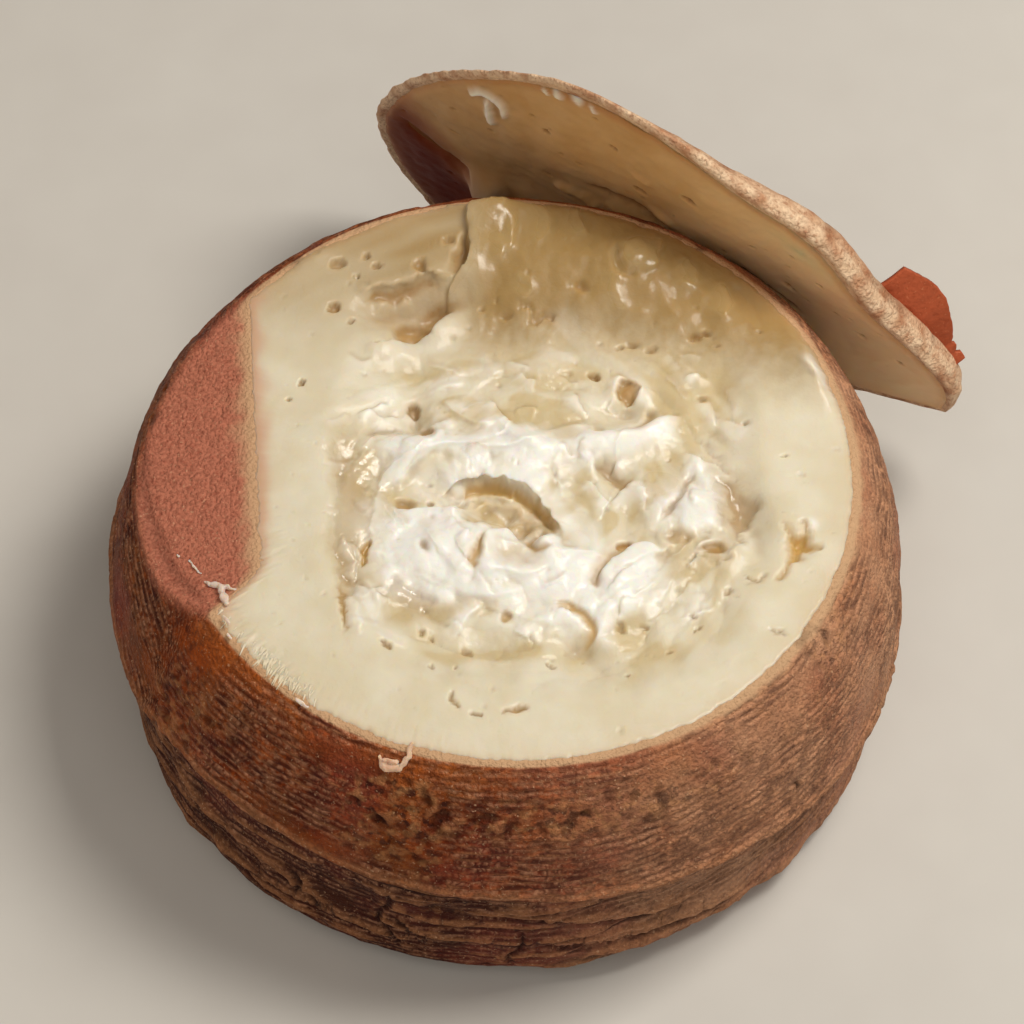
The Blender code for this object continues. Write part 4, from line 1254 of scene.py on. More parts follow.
cut_clay.lift += tongue_here * (0.42 * soft_noise(drawn_up, 6.4, 66) + 0.20 * soft_noise(drawn_up, 2.0, 67))

# %% Pinholes all over the paste
PINHOLES = 260
for _ in range(PINHOLES):
    radius, angle = 62 * math.sqrt(rng.random()), rng.uniform(-math.pi, math.pi)
    place = (radius * math.cos(angle), radius * math.sin(angle))
    size = 0.28 + 0.36 * rng.random() ** 3
    turn = rng.uniform(0, 180)
    dab(place, size, size * rng.uniform(0.5, 1.0), turn, -0.5 * size, edge=3, deep=0.25 * size)

# %% [markdown]
# ## Placing the paste
# The strokes' lift goes on top of the main forms and their push goes sideways, which makes the folds hang
# over. Towards the rind both fade out, and the edge rolls down over the shelf.

# %% The paste's surface
# Between which x or y the paste's border on the shoulder's smooth patch sets in.
PATCH_RIGHT = (-40, -43)
PATCH_FRONT = (-33, -27)
PATCH_BACK = (42, 36)
ground = main_forms(flat)
at_patch = smooth(*PATCH_RIGHT, flat[:, 0])
at_patch *= smooth(*PATCH_FRONT, flat[:, 1]) * smooth(*PATCH_BACK, flat[:, 1])
calm = smooth(0.3, 4.0, from_edge)
lift = ground * smooth(-0.5, 3.0, from_edge) + cut_clay.lift * calm
lift -= 0.55 * np.exp(-((from_edge / 0.8) ** 2)) * (1 - 0.9 * at_patch)
push = np.clip(cut_clay.push * calm[:, None], -1.8, 1.8)
height = cut_height(flat[:, 0], flat[:, 1])
space = np.column_stack((flat + push, height + lift))
for index, (inward, drop) in enumerate(PASTE_SKIRT):
    mine = row == index + 1
    space[mine, :2] = ring[mine, :2] * (edge[mine] + inward)[:, None]
    space[mine, 2] = PASTE_BOTTOM if drop is None else height[mine] + drop
place_points(cut_paste, space)
print("the paste rises and falls by", round(float(np.ptp(lift)), 1), "mm")

# %% The paste's marks
RUDDY_CORNER = (0.9, -51, -29.5, 4.2, 4.0, 0)
side_count = PASTE_CELLS + 1
top_of_drum = np.arange(side_count**2)
raised = raised_over(lift, top_of_drum, (side_count, side_count), 4)
widely_raised = raised_over(lift, top_of_drum, (side_count, side_count), 12)
mottled = soft_noise(swirl, 6.5, 68) + 0.5 * soft_noise(swirl, 2.6, 69)
# The back of the paste, near the lid, gets the tan colour as painted shade from the lid.
behind = smooth(18, 56, flat[:, 1] - 0.06 * flat[:, 0])
near_edge = np.exp(-((from_edge / 1.2) ** 2)) + 0.25 * np.exp(-((from_edge / 4.0) ** 2))
ruddy_reach = 2.4 + 1.6 * soft_noise(level_place, 5.0, 47)
ruddy_corner = form(flat[:, 0], flat[:, 1], *RUDDY_CORNER)
paint(cut_paste, {
    # Whiter where the paste was whipped, and whiter on every broad rise as painted light.
    "cream": cut_clay.layer("cream") + stirred * (0.38 * smooth(-0.1, 0.6, widely_raised) + 0.35 * mottled),
    # Yellower in broad hollows, partly as the paste's own tone and partly as painted shade.
    "olive": stirred * (0.6 * smooth(-0.1, 0.6, -widely_raised) + 0.9 * smooth(0.0, 0.30, -mottled)),
    # Painted shade: darker in pits, tears and every small hollow.
    "deep": cut_clay.layer("deep") + 0.4 * smooth(0.12, 0.60, -raised),
    "glow": cut_clay.layer("glow"),
    "wet": cut_clay.layer("wet") + 0.30 * stirred,
    # Tan: thin pulled paste, and over the back near the lid painted shade from the lid.
    "tongue": np.maximum(tongue_here, 0.9 * behind * (0.85 + 0.3 * mottled)),
    "edge": near_edge * (1 - 0.8 * at_patch),
    "ruddy": at_patch * np.exp(-((from_edge / ruddy_reach) ** 2)) + ruddy_corner,
})
close_up(cut_paste)

# %% [markdown]
# ## The paste's finish
# Soft sheep's milk cheese is fat and water: light goes in, scatters and comes out warmer, which rounds off
# small shadows and makes thin paste glow. So the shader scatters light under the surface, further for red
# than for blue. Wet paste is smoother and gets a thin clear coat.

# %% Soft cheese paste
SCATTER_DEPTH = 1.3
SCATTER_SHARE = 0.9
SCATTER_BY_COLOUR = (1.0, 0.72, 0.45)


def soft_paste(name, colours, scatter, shine):
    """colours gives the firm paste's two tones, then the colour for each mark in turn."""
    paste, shader = new_material(name)
    space = add_node(paste, "TexCoord", {}, {}, "Object")
    cloud = add_node(paste, "TexNoise", {}, {"Vector": space, "Scale": 0.11 / MM, "Detail": 2.0})
    cloud = add_node(paste, "MapRange", {}, {"Value": cloud, "From Min": 0.38, "From Max": 0.62})
    (firm, firm_light), layers = colours[0], colours[1:]
    colour = add_node(paste, "Mix", COLOURS, {"Factor": cloud, "A": linear(firm), "B": linear(firm_light)})
    for mark, strength, code in layers:
        share = add_node(paste, "Attribute", {"attribute_name": mark}, {}, "Fac")
        share = add_node(paste, "Math", {"operation": "MULTIPLY"}, {"Value": share, "Value_001": strength})
        colour = add_node(paste, "Mix", COLOURS, {"Factor": share, "A": colour, "B": linear(code)})
    wet = add_node(paste, "Attribute", {"attribute_name": "wet"}, {}, "Fac")
    gloss = add_node(paste, "MapRange", {}, {"Value": wet, "To Min": 0.52, "To Max": 0.18})
    curd = add_node(paste, "TexNoise", {}, {"Vector": space, "Scale": 1.5 / MM, "Detail": 2.0})
    bump = add_node(paste, "Bump", {}, {"Strength": 0.2, "Distance": 0.3 * MM, "Height": curd})
    set_inputs(paste, shader, {
        "Base Color": colour, "Roughness": gloss, "Normal": bump,
        "IOR": 1.44, "Specular IOR Level": 0.25 + shine, "Coat Weight": shine, "Coat Roughness": 0.14,
        "Subsurface Weight": SCATTER_SHARE if scatter else 0.0,
        "Subsurface Radius": SCATTER_BY_COLOUR, "Subsurface Scale": scatter * MM,
    })
    return paste


wheel_paste = soft_paste("soft sheep cheese paste", (
    ("#ddd2b6", "#e3dbc4"),
    # Tan, partly thin pulled paste and partly painted shade from the lid.
    ("tongue", 1.0, "#aa8c58"),
    # Yellower in broad hollows, partly painted shade.
    ("olive", 0.75, "#cfba8c"),
    ("wet", 0.20, "#d2bf94"),
    # Whiter on whipped paste, and on broad rises as painted light.
    ("cream", 1.0, "#f6f4ec"),
    # Painted shade in pits, tears and hollows.
    ("deep", 0.85, "#a98450"),
    # Painted glow: golden light inside cracks and caves.
    ("glow", 0.75, "#cda254"),
    ("ruddy", 0.75, "#cf9c7c"),
    ("edge", 0.55, "#c89c6e"),
), SCATTER_DEPTH, 0.18)
finish_piece(cut_paste, wheel_paste, "cheese_wheel")

# %% [markdown]
# ## The lid
# The lid is a thin cap of the same cheese. It stands on its foot behind the wheel and leans forward on the
# wheel's shoulder, its cut side towards the viewer. Again the solid's sizes come first: an outline with
# lobes, a trimmed lower edge, and a back that is domed at one side and thin at the other.

# %% Sizes of the lid
LID_RADIUS = 60.5
LID_THICKNESS = 10.5
LID_EDGE_RIGHT = 4.2
LID_EDGE_LEFT = 1.3
LID_BACK_POWER = 2.6
LID_THICK_SIDE = math.radians(-10)
LID_AZIMUTH = math.radians(60)
LID_LEAN = math.radians(14)
LID_FOOT_DISTANCE = 80.2
LID_CENTRE_X = -10.0
LID_CENTRE_UP = 29.5
LID_TRIM_DISTANCE = 28.9
LID_TRIM_ANGLE = math.radians(-66)
LID_TRIM_RAGGED = 0.8
FLOOR_GAP = 0.2
# Angle and half width in degrees, then outward and forward in mm.
LID_LOBES = (
    (3, 11, 4.0, -0.4),
    (33, 14, -2.8, 1.3),
    (66, 12, -1.5, 0.8),
    (102, 16, 1.8, -1.1),
    (170, 14, 1.5, 0.0),
    (-160, 10, -3.5, 0.4),
)
LID_FORMS = {
    "grey lump": (3.0, -46, 33, 4, 5, 0),
    "stuck ridge": (2.4, -11, 49, 12, 3.5, 8),
    "face swell": (0.8, -30, 62, 20, 14, 10),
}
LID_SWELL = 0.5
LID_SWELL_SPACING = 14.0
foot = Vector((math.cos(LID_AZIMUTH), math.sin(LID_AZIMUTH), 0)) * LID_FOOT_DISTANCE
turned = Euler((math.pi / 2 + LID_LEAN, 0, LID_AZIMUTH - math.pi / 2)).to_matrix()
print("the lid's face looks along", [round(value, 2) for value in turned.col[2]])


def in_place(places):
    """Points in the lid's own axes, across, up its face and out of it, set where the lid stands."""
    return places @ np.array(turned).T + np.array(foot)


def lid_lobes(angle):
    """How far the lid's outline goes outwards, and its edge bends forward, at each angle."""
    outward, forward = np.zeros_like(angle), np.zeros_like(angle)
    for middle, width, out_by, forward_by in LID_LOBES:
        off = (np.degrees(angle) - middle + 180) % 360 - 180
        share = np.exp(-((off / width) ** 2))
        outward += out_by * share
        forward += forward_by * share
    return outward, forward


def lid_radius(angle):
    radius = LID_RADIUS + lid_lobes(angle)[0]
    towards = np.cos(angle - LID_TRIM_ANGLE)
    ragged = LID_TRIM_RAGGED * np.array([noise.noise((math.degrees(a) / 5, 3.7, 0)) for a in angle])
    trimmed = (LID_TRIM_DISTANCE + ragged) / np.maximum(towards, 0.05)
    return np.where(towards > 0.05, np.minimum(radius, trimmed), radius)


def lid_flat(angle, share, radius):
    """Across and up the lid's face, and how far the lid is bent forward there."""
    across = LID_CENTRE_X + radius * share * np.cos(angle)
    up = LID_CENTRE_UP + radius * share * np.sin(angle)
    return np.column_stack((across, up, lid_lobes(angle)[1] * share * share))


def lid_depth(angle, share):
    """The lid's thickness: domed at one side, and flat and thin at the other."""
    thick = smooth(-0.3, 0.8, np.cos(angle - LID_THICK_SIDE)) * smooth(0.0, 0.3, share)
    edge = LID_EDGE_LEFT + (LID_EDGE_RIGHT - LID_EDGE_LEFT) * thick
    steep = np.maximum(1 - share**LID_BACK_POWER, 0) ** (1 / LID_BACK_POWER)
    flat = 1 - share * share
    return edge + (LID_THICKNESS - edge) * (flat + (steep - flat) * thick)


def stand_on_floor(piece):
    """Cuts the lid off level with the floor and closes the cut."""
    bpy.context.view_layer.objects.active = piece
    bpy.ops.object.mode_set(mode="EDIT")
    bpy.ops.mesh.select_all(action="SELECT")
    floor = (0, 0, FLOOR_GAP * MM)
    bpy.ops.mesh.bisect(plane_co=floor, plane_no=(0, 0, 1), clear_inner=True, threshold=SAME_PLACE)
    bpy.ops.mesh.select_all(action="SELECT")
    bpy.ops.mesh.fill_holes(sides=0)
    bpy.ops.mesh.select_all(action="SELECT")
    bpy.ops.mesh.normals_make_consistent(inside=False)
    bpy.ops.object.mode_set(mode="OBJECT")


# %% [markdown]
# ## The lid's cut face
# The face is smoother than the wheel's, because the knife passed once. It has a few tears and pores, dabs of
# white and grey paste that stuck to it, and a crease at the left, beyond which it turns red where the cut
# ran out through the rind.

# %% The lid's block
LID_CELLS = 280
LID_BAND = 0.9
LID_WIDE_BAND = 2.4
LID_FACE_SKIRT = ((0.0, -0.45), (-1.2, -0.75), (-1.2, -0.9))
LID_PORES = 90

lid_paste = raw_drum("lid_paste", LID_CELLS, len(LID_FACE_SKIRT))
angle, share, row = drum_places(lid_paste)
degrees = np.degrees(angle)
band = LID_BAND + (LID_WIDE_BAND - LID_BAND) * smooth(18, 45, degrees) * smooth(118, 100, degrees)
outline = lid_radius(angle)
ring = outwards(angle) * LID_RADIUS
band += 0.45 * soft_noise(ring, 4.0, 71) + 0.25 * soft_noise(ring, 1.3, 72)
face_radius = outline - np.maximum(band, 0.3)
flat = lid_flat(angle, share, face_radius)
flat[:, 2] = lid_lobes(angle)[1] * (share * face_radius / outline) ** 2
face_edge = face_radius * (1 - share)
on_face = flat * (1, 1, 0)
lid_clay = Clay(flat[:, :2], on_face)
stroke, dab = lid_clay.stroke, lid_clay.dab

# %% The lid's tears and dabs
lid_clay.lift += 0.22 * soft_noise(on_face, 6.0, 73) + 0.10 * soft_noise(on_face, 2.2, 74)
stroke(((-66, 47.5), (-62, 43), (-59, 41), (-53, 38), (-48.5, 34.5)), -1.2, 0.9, 2.4, ragged=0.4, deep=0.4)
stroke(((-45.5, 71.0), (-43.6, 75.0), (-40.0, 75.8), (-38.0, 72.6), (-38.6, 68.0)), 1.2, 0.9, 0.9,
       ragged=0.4, white=1.0)
stroke(((-41.0, 75.0), (-41.4, 70.0), (-41.0, 64.0)), 1.1, 0.8, 0.8, ragged=0.3, white=1.0)
for place, size in (((-25.4, 86.6), 1.2), ((-21.4, 87.8), 1.4), ((-17.8, 87.6), 1.0), ((-28.0, 85.6), 0.8),
                    ((33.0, 71.2), 1.4)):
    dab(place, size, size * 0.6, -25, 0.7, edge=3, ragged=0.5, white=0.9)
dab((-47.5, 33.0), 3.2, 4.6, 10, 1.4, edge=3, ragged=0.4, grey=1.0)
dab((-44.0, 35.0), 2.0, 3.4, -10, 1.0, edge=3, ragged=0.4, grey=0.8)
for place, size, rise in (((-14.6, 76.2), 0.9, -1.0), ((-9.9, 63.9), 1.2, -1.2), ((-9.0, 68.8), 2.2, 0.7),
                          ((-5.2, 57.0), 2.6, 0.8), ((1.2, 69.6), 1.5, -1.0), ((21.1, 52.3), 1.2, -1.1),
                          ((35.6, 44.2), 1.0, -1.0), ((14.0, 62.0), 0.8, -0.8), ((-29.0, 71.0), 0.8, -0.7),
                          ((-52.0, 52.0), 0.7, -0.6), ((28.0, 60.0), 0.7, -0.8), ((44.0, 40.0), 0.8, -0.8)):
    dab(place, size, size * 0.5, -30, rise, edge=3, ragged=0.6, deep=0.5 if rise < 0 else 0.0)
for path in (((-20, 52), (-11, 53), (-2, 51), (6, 47)), ((-16, 47), (-8, 47.5), (2, 45)),
             ((-30, 50), (-24, 51.5), (-18, 50))):
    stroke(path, 1.1, 1.6, 1.0, ragged=0.6, wet=0.7)
for path in (((-24, 56), (-12, 57.5), (-4, 55)), ((8, 52), (16, 48), (24, 42))):
    stroke(path, -0.9, 0.6, 1.4, ragged=0.6, deep=0.45)
for _ in range(LID_PORES):
    place = (rng.uniform(-65, 52), rng.uniform(8, 90))
    size = 0.3 + 0.4 * rng.random() ** 2
    dab(place, size, size * 0.7, -30, -0.6 * size, edge=3, deep=0.3 * size)

# %% The lid's face in place
lid_forms = sum(form(flat[:, 0], flat[:, 1], *values) for values in LID_FORMS.values())
lid_forms = lid_forms + LID_SWELL * dents(on_face, LID_SWELL_SPACING)
calm = smooth(0.2, 2.5, face_edge)
lift = (lid_forms + lid_clay.lift) * calm - 0.5 * np.exp(-((face_edge / 0.6) ** 2))
places = flat + np.column_stack((lid_clay.push * calm[:, None], lift))
for index, (inward, drop) in enumerate(LID_FACE_SKIRT):
    mine = row == index + 1
    places[mine] = lid_flat(angle[mine], np.ones(mine.sum()), face_radius[mine] + inward)
    places[mine, 2] += drop
place_points(lid_paste, in_place(places))
side_count = LID_CELLS + 1
raised = raised_over(lift, np.arange(side_count**2), (side_count, side_count), 4)
beyond_crease = flat[:, 0] + 0.55 * (flat[:, 1] - 40)
paint(lid_paste, {
    "white": lid_clay.layer("white"),
    "grey": lid_clay.layer("grey"),
    # Painted shade: darker in tears, pores and every small hollow.
    "deep": lid_clay.layer("deep") + 0.5 * smooth(0.08, 0.45, -raised),
    "wet": lid_clay.layer("wet"),
    "ruddy": smooth(-44, -62, beyond_crease + 3.0 * soft_noise(flat, 7.0, 75)),
    # Painted shade: the lower left margin, past the crease, darkened to a deep red.
    "shaded_lower_left": smooth(-52, -66, beyond_crease + 4.0 * soft_noise(flat, 6.0, 76)) * smooth(66, 44, flat[:, 1]),
    "lit": smooth(-12, 44, flat[:, 0]),
    "edge": np.exp(-((face_edge / 1.3) ** 2)) + 0.3 * np.exp(-((face_edge / 5.0) ** 2)),
})
close_up(lid_paste)
stand_on_floor(lid_paste)

# %% The lid's paste finish
# The lid's paste is painted tanner than the wheel's, partly as drier paste and partly as painted shade,
# since its face is turned away from the main light; lit paints light on its right part.
lid_finish = soft_paste("drier shaded cheese paste", (
    ("#cda068", "#d6ac76"),
    ("lit", 0.9, "#ffdfae"),
    ("wet", 0.4, "#b98f58"),
    # Painted shade in tears, pores and hollows.
    ("deep", 0.9, "#8a5a2c"),
    ("grey", 0.8, "#b7a68c"),
    ("ruddy", 0.92, "#8c3606"),
    # Painted shade: the lower left margin darkened to a deep red.
    ("shaded_lower_left", 0.97, "#681402"),
    ("edge", 0.6, "#b87c48"),
    ("white", 1.0, "#f2ead8"),
), 0.6 * SCATTER_DEPTH, 0.0)
finish_piece(lid_paste, lid_finish, "cut_lid")

# %% [markdown]
# ## The lid's rind
# The back of the lid was the top of the wheel: the same rind, with the cloth's creases running in towards
# the middle, and its edge shows round the cut face as a thin ragged band. The same drum serves again. Its
# disc is the back, its first rows down are the side, and the last ones are a shelf tucked under the paste.

# %% The lid's back
LID_BACK_CELLS = 200
LID_EDGE_ROWS = 8
LID_SHELF = ((-0.5, -0.1), (-1.5, -0.35), (-3.0, -0.6), (-6.0, -1.6))

lid_rind = raw_drum("lid_rind", LID_BACK_CELLS, LID_EDGE_ROWS + len(LID_SHELF))
angle, share, row = drum_places(lid_rind)
outline = lid_radius(angle)
flat = lid_flat(angle, share, outline)
ring = outwards(angle)
on_face = flat * (1, 1, 0)
depth = lid_depth(angle, share)
depth += LID_SWELL * dents(on_face, LID_SWELL_SPACING) * smooth(0, 0.2, 1 - share)
rays = np.column_stack((angle * 8, share * 2.2, share * 0))
creases = np.abs(soft_noise(rays, 1.5, 81)) * smooth(0.1, 0.5, share)
detail = 0.30 * soft_noise(on_face, 5.0, 82) + 0.15 * soft_noise(on_face, 2.0, 83)
detail += 0.08 * soft_noise(on_face, 1.0, 84) - 0.30 * smooth(0.25, 0.0, creases)
places = flat.copy()
places[:, 2] -= depth + detail * smooth(0.0, 2.0, outline * (1 - share))

# %% The lid's side
side_share = np.clip(row / LID_EDGE_ROWS, 0, 1)
skirt = row > 0
round_side = np.column_stack((ring[:, :2] * LID_RADIUS, depth * side_share))
bulge = 0.9 * np.sin(math.pi * side_share) * smooth(-20, 10, np.degrees(angle))
bulge += 0.35 * soft_noise(round_side, 2.4, 85)
places[skirt, 2] = (flat[:, 2] - depth * (1 - side_share))[skirt]
places[skirt, :2] += (ring[:, :2] * np.maximum(bulge, -0.3)[:, None])[skirt]
for index, (inward, drop) in enumerate(LID_SHELF):
    mine = row == LID_EDGE_ROWS + 1 + index
    places[mine] = lid_flat(angle[mine], np.ones(mine.sum()), outline[mine] + inward)
    places[mine, 2] += drop
place_points(lid_rind, in_place(places))

# %% The lid's rind finish
towards_right = smooth(-60, -20, np.degrees(angle)) * smooth(125, 95, np.degrees(angle))
rim_close = np.where(skirt, 1.0, towards_right * smooth(0.78, 0.90, share + 0.04 * soft_noise(flat, 6.0, 89)))
paint(lid_rind, {
    "pitted": 0.6 * smooth(0.05, 0.35, -detail),
    "fresh": 0.6 * rim_close,
    # Painted shade in the back's creases.
    "crease": 0.3 * smooth(0.25, 0.0, creases) * (row == 0),
    # Paler on rises, as wear, and on the rim band, partly as painted light.
    "worn": smooth(0.1, 0.4, detail) + 0.75 * rim_close * smooth(-0.3, 0.4, soft_noise(places, 2.2, 86)),
    "cut_edge": rim_close * (0.2 + 0.4 * smooth(-0.4, 0.5, soft_noise(places, 2.8, 87))),
    # Near-white patches on the rim band, partly as dry rind and partly as painted light on the band.
    "dry": rim_close * smooth(-0.9, 0.3, soft_noise(places, 3.4, 88)) * np.where(skirt, 1.0, 0.7),
    # Painted light: the rim band is painted paler; the whole back is a little paler too.
    "pale": 0.3 + 0.7 * rim_close,
})
close_up(lid_rind)
stand_on_floor(lid_rind)

lid_rind_finish = washed_rind("dry lid rind", (
    "#985026",
    ("mottle", 0.6, "#74360f"),
    ("patch", 0.5, "#5a280e"),
    # Painted light on the rim band, and a little over the whole back.
    ("pale", 0.75, "#c48c68"),
    # Painted shade: dark in the deep pits.
    ("deep pits", 0.60, "#4a1a0c"),
    # Paler on rises, as wear, and on the rim band, partly as painted light.
    ("worn", 0.40, "#c8906a"),
    # Near-white patches on the rim band, partly dry rind and partly painted light.
    ("dry", 1.0, "#f8dab6"),
    ("cut_edge", 0.60, "#cf9c70"),
    ("dots", 0.40, "#a5603c"),
    ("grit", 0.30, "#8c4a2a"),
    # Light specks, partly the rind's own and partly painted glints; they are glossier too.
    ("speck", 0.55, "#ecd0ae"),
    # Painted shade: creases and cracks nearly black.
    ("crease", 0.80, "#2c0c05"),
))
finish_piece(lid_rind, lid_rind_finish, "cut_lid")

# %% [markdown]
# ## The torn flap
# A strip of rind tore loose and sticks out behind the lid's right end. It is a bent strip that Solidify
# gives its thickness, with a ragged free edge.

# %% The flap's sizes
FLAP_LENGTH = 25.0
FLAP_WIDTH = 7.4
FLAP_THICKNESS = 1.6
FLAP_THINNED = 0.8
FLAP_RAGGED = 0.04
FLAP_CURL = 0.5
FLAP_START = np.array((36.0, 56.0, -4.5))
FLAP_ALONG = np.array(Vector((0.583, -0.810, 0.040)).normalized())
FLAP_OUT = np.array(Vector((0.70, 0.50, -0.50)).normalized())
FLAP_CELLS = (36, 110)

# %% The flap
bpy.ops.object.select_all(action="DESELECT")
bpy.ops.mesh.primitive_grid_add(x_subdivisions=FLAP_CELLS[0], y_subdivisions=FLAP_CELLS[1], size=2)
flap = bpy.context.object
flap.name = "rind_flap"
square = read_points(flap)
along, out = (1 - square[:, 1]) / 2, (square[:, 0] + 1) / 2
belly = (1 + np.sin(math.pi * np.minimum(along + 0.15, 1.0))) / 2
ragged = FLAP_RAGGED * np.array([noise.noise((9 * a, 1.5, 0)) for a in along])
ragged += 0.10 * np.array([noise.noise((22 * a, 4.5, 0)) for a in along]) * out * smooth(0.72, 0.85, along)
width = FLAP_WIDTH * (belly + ragged) * out
places = FLAP_START + FLAP_ALONG * (FLAP_LENGTH * along)[:, None] + FLAP_OUT * width[:, None]
places[:, 2] -= FLAP_CURL * width * out
on_flap = np.column_stack((along * FLAP_LENGTH, width, along * 0))
places[:, 2] += 0.35 * soft_noise(on_flap, 4.0, 91) + 0.12 * soft_noise(on_flap, 1.3, 92)
place_points(flap, in_place(places))
solid_wall = flap.modifiers.new("Solidify", "SOLIDIFY")
solid_wall.thickness = FLAP_THICKNESS * FLAP_THINNED * MM
solid_wall.offset = 0
bpy.ops.object.modifier_apply(modifier="Solidify")
close_up(flap)
flap_marks = {"pitted": 0.2, "fresh": 0.8}
paint(flap, {name: np.full(len(flap.data.vertices), value) for name, value in flap_marks.items()})
torn_finish = washed_rind("torn rind", (
    "#b4583a",
    ("mottle", 0.7, "#94432a"),
    ("dots", 0.35, "#7c2c16"),
    ("grit", 0.30, "#8c3a1e"),
    # Light specks, partly the rind's own and partly painted glints; they are glossier too.
    ("speck", 0.40, "#d99468"),
    ("fresh", 0.25, "#c8683c"),
), relief=0.2)
finish_piece(flap, torn_finish, "cut_lid")

# %% [markdown]
# ## Scraps, crumbs and bristles
# The knife left small things behind: a curled scrap of paste at the end of the shoulder, a peeled flake of
# rind under the front edge, crumbs, and a comb of stiff bristles where dry paste frayed at the front left.
# Each is a small real mesh, and all of one kind are joined.

# %% Places on the wheel's edge
def on_rim(degrees, below, beyond=0.0):
    """A point of the rind, below mm under the cut and beyond mm out from it, and the way outwards there."""
    azimuth = np.array((math.radians(degrees),))
    top = side_place(rim_angle(azimuth), azimuth)[0][0, 2]
    angle = angle_where(azimuth, lambda place: place[..., 2] > top - below)
    outward = np.array((math.cos(azimuth[0]), math.sin(azimuth[0]), 0.0))
    return side_place(angle, azimuth)[0][0] + outward * beyond, outward


def join_all(pieces, name):
    bpy.ops.object.select_all(action="DESELECT")
    for piece in pieces:
        piece.select_set(True)
    bpy.context.view_layer.objects.active = pieces[0]
    bpy.ops.object.join()
    bpy.ops.object.transform_apply(location=True, rotation=True, scale=True)
    pieces[0].name = name
    return pieces[0]


# %% Bristles
BRISTLES = 70
BRISTLE_AZIMUTH = -134
BRISTLE_SPREAD = 5.0
BRISTLE_TIP = 0.07
bristles = []
for _ in range(BRISTLES):
    degrees = rng.normal(BRISTLE_AZIMUTH, BRISTLE_SPREAD)
    length = rng.uniform(1.2, 2.4)
    start, outward = on_rim(degrees, 0.0, beyond=rng.uniform(-4.2, -1.6))
    start[2] = cut_height(start[0], start[1]) + 0.05
    sideways = np.array((-outward[1], outward[0], 0.0))
    lie = outward + sideways * rng.normal(0.30, 0.22) + np.array((0.0, 0.0, rng.uniform(-0.30, 0.05)))
    lie = Vector(lie).normalized()
    bpy.ops.object.select_all(action="DESELECT")
    bpy.ops.mesh.primitive_cone_add(
        vertices=8, radius1=rng.uniform(0.14, 0.26) * MM, radius2=BRISTLE_TIP * MM, depth=length * MM,
        location=(Vector(start) + lie * length / 2) * MM, rotation=lie.to_track_quat("Z", "Y").to_euler(),
    )
    bristles.append(bpy.context.object)
bristles = join_all(bristles, "bristles")
dry_paste = soft_paste("dry cheese paste", (("#e6d8ba", "#ece2cc"),), 0.0, 0.0)
finish_piece(bristles, dry_paste, "cheese_wheel")

# %% Scraps and crumbs
SMEAR_VOXEL = 0.16


def on_rind(x, y):
    """The point of the rind that lies over x, y in plan."""
    azimuth = np.array((math.atan2(y, x),))
    angle = angle_where(azimuth, lambda place: np.hypot(place[..., 0], place[..., 1]) < math.hypot(x, y))
    return side_place(angle, azimuth)[0][0]


def smear(points):
    """Overlapping beads of paste along a line of points given as x, y and thickness."""
    beads = []
    for start, end in zip(points, points[1:]):
        for share in np.linspace(0, 1, 7):
            x, y, thick = np.array(start) + (np.array(end) - start) * share
            place = Vector(on_rind(x, y)) + Vector((0, 0, 0.25 * thick))
            bpy.ops.mesh.primitive_ico_sphere_add(subdivisions=2, radius=thick / 2 * MM, location=place * MM)
            beads.append(bpy.context.object)
    return beads


def melt(beads, name, seed):
    """Joins overlapping beads into one lumpy skin."""
    piece = join_all(beads, name)
    piece.data.remesh_voxel_size = SMEAR_VOXEL * MM
    bpy.ops.object.voxel_remesh()
    places = read_points(piece) / MM
    lumps = np.stack([soft_noise(places, 1.1, seed + axis) for axis in range(3)], axis=1)
    place_points(piece, places + 0.30 * lumps)
    return piece


SCRAP_STRANDS = {
    "across": ((-52.2, -23.7, 0.6), (-50.7, -24.5, 1.0), (-49.1, -25.5, 1.1), (-46.9, -26.4, 0.7)),
    "down": ((-49.4, -25.5, 1.2), (-48.6, -27.9, 1.4), (-48.0, -29.8, 0.8)),
    "bits under it": ((-48.2, -32.8, 0.5), (-47.3, -34.4, 0.7)),
    "lower bits": ((-47.4, -36.1, 0.5), (-46.8, -36.8, 0.6)),
    "crumb": ((-34.9, -48.8, 0.7), (-34.2, -49.3, 0.9), (-33.3, -49.9, 0.6)),
    "specks on the shoulder": ((-55.4, -18.3, 0.35), (-54.4, -19.8, 0.45), (-53.2, -21.6, 0.35)),
    "speck above": ((-57.6, -16.9, 0.35), (-57.2, -17.2, 0.4)),
}
scraps = [bead for points in SCRAP_STRANDS.values() for bead in smear(points)]
scraps = melt(scraps, "scraps", 101)
white_paste = soft_paste("whipped cheese paste", (("#dfc9b8", "#ead9cb"),), 0.8, 0.2)
finish_piece(scraps, white_paste, "cheese_wheel")

PEEL_STRANDS = {
    "long leg": ((-20.8, -58.4, 0.7), (-20.2, -59.8, 1.2), (-18.7, -60.2, 1.3), (-17.4, -60.2, 1.1)),
    "short leg": ((-17.4, -60.2, 1.1), (-16.0, -59.0, 0.9), (-15.4, -57.2, 0.7)),
    "fold": ((-20.0, -59.0, 1.0), (-18.2, -59.4, 1.0)),
}
peeled = [bead for points in PEEL_STRANDS.values() for bead in smear(points)]
peeled = melt(peeled, "peeled_rind", 121)
peel_finish = soft_paste("peeled rind", (("#d2a284", "#e6c6aa"),), 0.6, 0.1)
finish_piece(peeled, peel_finish, "cheese_wheel")

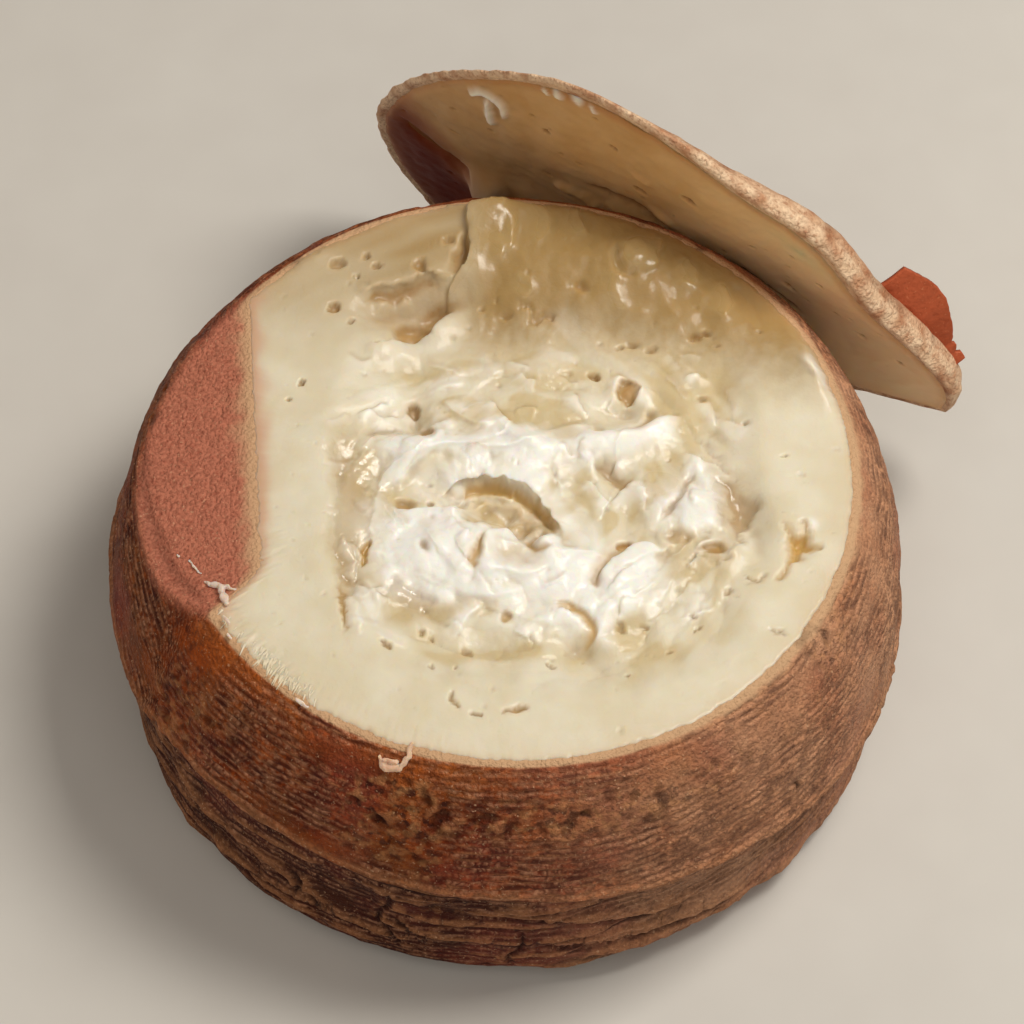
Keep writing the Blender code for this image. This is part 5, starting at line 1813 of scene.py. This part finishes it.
# %% [markdown]
# ## The floor, the camera and the light
# The floor is plain and pale, and a hair below the wheel's bottom, so that the two faces don't flicker
# through each other. The camera looks down at 56 degrees, from straight ahead, through a long lens, as a
# close food photograph is taken. The main light hangs almost overhead, a little to the right and behind, so
# the lid's face is in its own shade and the folds of the paste throw small shadows. Large weak lights fill in
# from the front, and a warm one picks out the left edge.

# %% The floor
FLOOR_SIZE = 6.0
FLOOR_DROP = 0.2
floor_finish, floor_shader = new_material("matt pale floor")
floor_space = add_node(floor_finish, "TexCoord", {}, {}, "Object")
floor_grain = add_node(floor_finish, "TexNoise", {}, {"Vector": floor_space, "Scale": 60.0, "Detail": 2.0})
floor_colour = {"Factor": floor_grain, "A": linear("#cfcac2"), "B": linear("#d6d2ca")}
set_inputs(floor_finish, floor_shader, {
    "Base Color": add_node(floor_finish, "Mix", COLOURS, floor_colour), "Roughness": 0.85,
})
bpy.ops.object.select_all(action="DESELECT")
bpy.ops.mesh.primitive_plane_add(size=FLOOR_SIZE, location=(0, 0, -FLOOR_DROP * MM))
floor = bpy.context.object
floor.name = "floor"
floor.data.materials.append(floor_finish)

# %% The camera
PICTURE_PIXELS = 1024
SENSOR_WIDTH = 36.0
target = Vector(VIEW_TARGET) * MM
back = Vector((0, -math.cos(VIEW_ELEVATION), math.sin(VIEW_ELEVATION)))
bpy.ops.object.camera_add(location=target + back * VIEW_DISTANCE * MM)
camera = bpy.context.object
facing = back.to_track_quat("Z", "Y").to_matrix() @ Matrix.Rotation(VIEW_ROLL, 3, "Z")
camera.rotation_euler = facing.to_euler()
camera.data.sensor_width = SENSOR_WIDTH
camera.data.lens = LENS_IN_PIXELS / PICTURE_PIXELS * SENSOR_WIDTH
bpy.context.scene.camera = camera

# %% The light
ROOM_STRENGTH = 0.15
# Each light's place and width in metres, its power in watts, and its colour.
LIGHTS = {
    "main light": ((0.30, 0.09, 0.66), 0.28, 3.75, "#fffaf2"),
    "front fill": ((0.05, -0.60, 0.90), 0.90, 2.3, "#fffaf4"),
    "low front": ((-0.25, -0.85, 0.30), 0.50, 1.0, "#fff4e6"),
    "left edge": ((-0.70, 0.25, 0.35), 0.40, 0.7, "#ffe4cc"),
}
for name, (location, size, power, code) in LIGHTS.items():
    bpy.ops.object.light_add(type="AREA", location=location)
    lamp = bpy.context.object
    lamp.name = name
    lamp.rotation_euler = (Vector(location) - target).to_track_quat("Z", "Y").to_euler()
    lamp.data.size = size
    lamp.data.energy = power
    lamp.data.color = linear(code)[:3]
world = bpy.data.worlds.new("soft room")
world.use_nodes = True
world.node_tree.nodes["Background"].inputs["Color"].default_value = linear("#f4f0ea")
world.node_tree.nodes["Background"].inputs["Strength"].default_value = ROOM_STRENGTH
bpy.context.scene.world = world
bpy.context.scene.view_settings.view_transform = "Standard"
